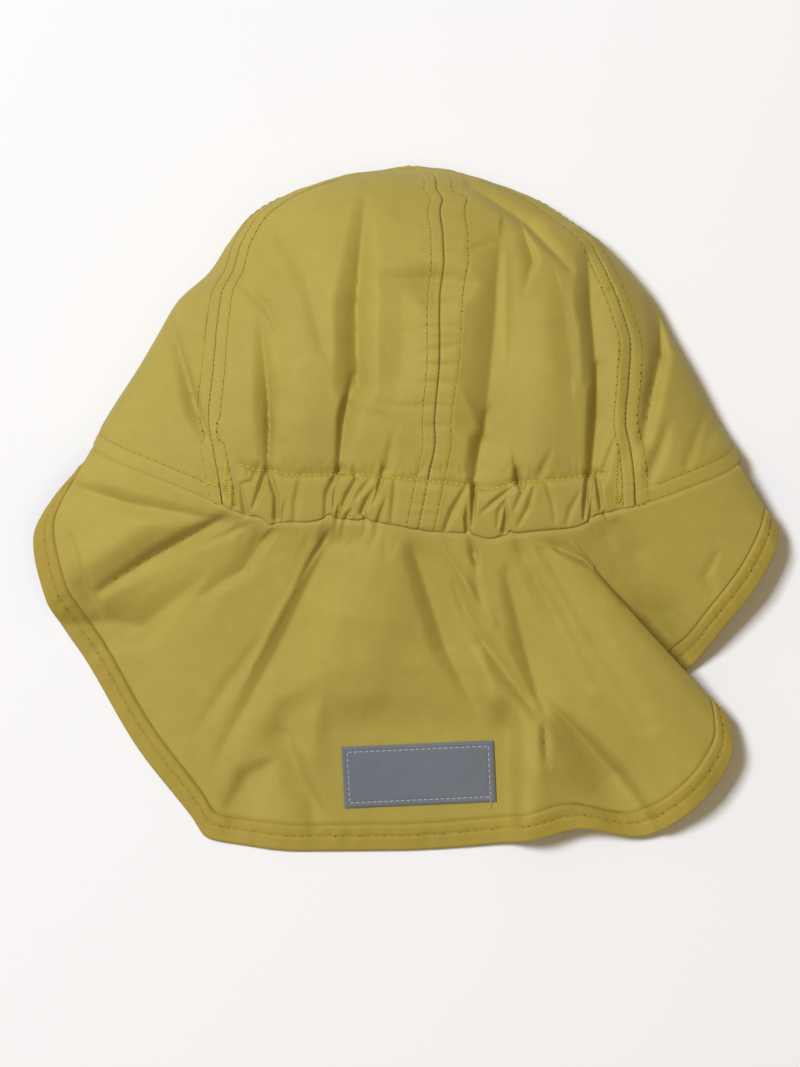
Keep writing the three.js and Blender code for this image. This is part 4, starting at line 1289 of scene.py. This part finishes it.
class HAT_OT_stage(bpy.types.Operator):
    """The pale floor, the soft lights and the camera straight above"""
    bl_idname = "hat.stage"
    bl_label = "Stage"

    def execute(self, context):
        scene = context.scene
        mesh = bpy.data.meshes.new("stage_floor")
        half = 3
        corners = [(-half, -half, 0), (half, -half, 0), (half, half, 0), (-half, half, 0)]
        mesh.from_pydata(corners, [], [(0, 1, 2, 3)])
        floor = bpy.data.objects.new("stage_floor", mesh)
        scene.collection.objects.link(floor)
        paint = bpy.data.materials.new("stage_paint")
        paint.use_nodes = True
        shader = paint.node_tree.nodes["Principled BSDF"]
        shader.inputs["Base Color"].default_value = (0.93, 0.93, 0.93, 1)
        shader.inputs["Roughness"].default_value = 0.9
        mesh.materials.append(paint)
        for name, place, size, power, colour in (
            ("key_light", (-1.28, 0.8, 2.75), 0.8, 82, (0.95, 1, 1.12)),
            ("fill_light", (1.2, -1.0, 2.6), 2, 7, (1, 0.88, 0.66)),
        ):
            lamp = bpy.data.lights.new(name, "AREA")
            lamp.size = size
            lamp.energy = power
            lamp.color = colour
            light = bpy.data.objects.new(name, lamp)
            light.location = place
            aim = -light.location
            light.rotation_euler = aim.to_track_quat("-Z", "Y").to_euler()
            scene.collection.objects.link(light)
        world = bpy.data.worlds.new("studio")
        world.use_nodes = True
        background = world.node_tree.nodes["Background"]
        background.inputs["Color"].default_value = (1, 0.8, 0.46, 1)
        background.inputs["Strength"].default_value = 0.26
        scene.world = world
        scene.view_settings.view_transform = "Standard"
        view_height, away, hat_level = 0.4055, 1.5, 0.02
        lens = bpy.data.cameras.new("camera")
        lens.sensor_fit = "VERTICAL"
        lens.sensor_height = 36
        lens.lens = 36 * away / view_height
        camera = bpy.data.objects.new("camera", lens)
        camera.location = (-0.0023, -0.0089, away + hat_level)
        scene.collection.objects.link(camera)
        scene.camera = camera
        return {"FINISHED"}


class HAT_PT_pieces(bpy.types.Panel):
    """Lists the sizes, the colours and the pieces"""
    bl_idname = "HAT_PT_pieces"
    bl_label = "Sun hat"
    bl_space_type = "VIEW_3D"
    bl_region_type = "UI"
    bl_category = "Hat"

    def draw(self, context):
        for group in (context.scene.hat_sizes, context.scene.hat_colours):
            for name in group.__annotations__:
                self.layout.prop(group, name)
        for operator in OPERATORS:
            self.layout.operator(operator.bl_idname)


OPERATORS = (HAT_OT_crown, HAT_OT_rim, HAT_OT_flap, HAT_OT_peak, HAT_OT_label, HAT_OT_stitches,
             HAT_OT_stage)
CLASSES = (HatSizes, HatColours, *OPERATORS, HAT_PT_pieces)


def register():
    for item in CLASSES:
        bpy.utils.register_class(item)
    bpy.types.Scene.hat_sizes = bpy.props.PointerProperty(type=HatSizes)
    bpy.types.Scene.hat_colours = bpy.props.PointerProperty(type=HatColours)


def unregister():
    del bpy.types.Scene.hat_colours
    del bpy.types.Scene.hat_sizes
    for item in reversed(CLASSES):
        bpy.utils.unregister_class(item)


def main():
    register()
    for stage in ("stage", "crown", "rim", "flap", "peak", "label", "stitches"):
        getattr(bpy.ops.hat, stage)()


if __name__ == "__main__":
    main()
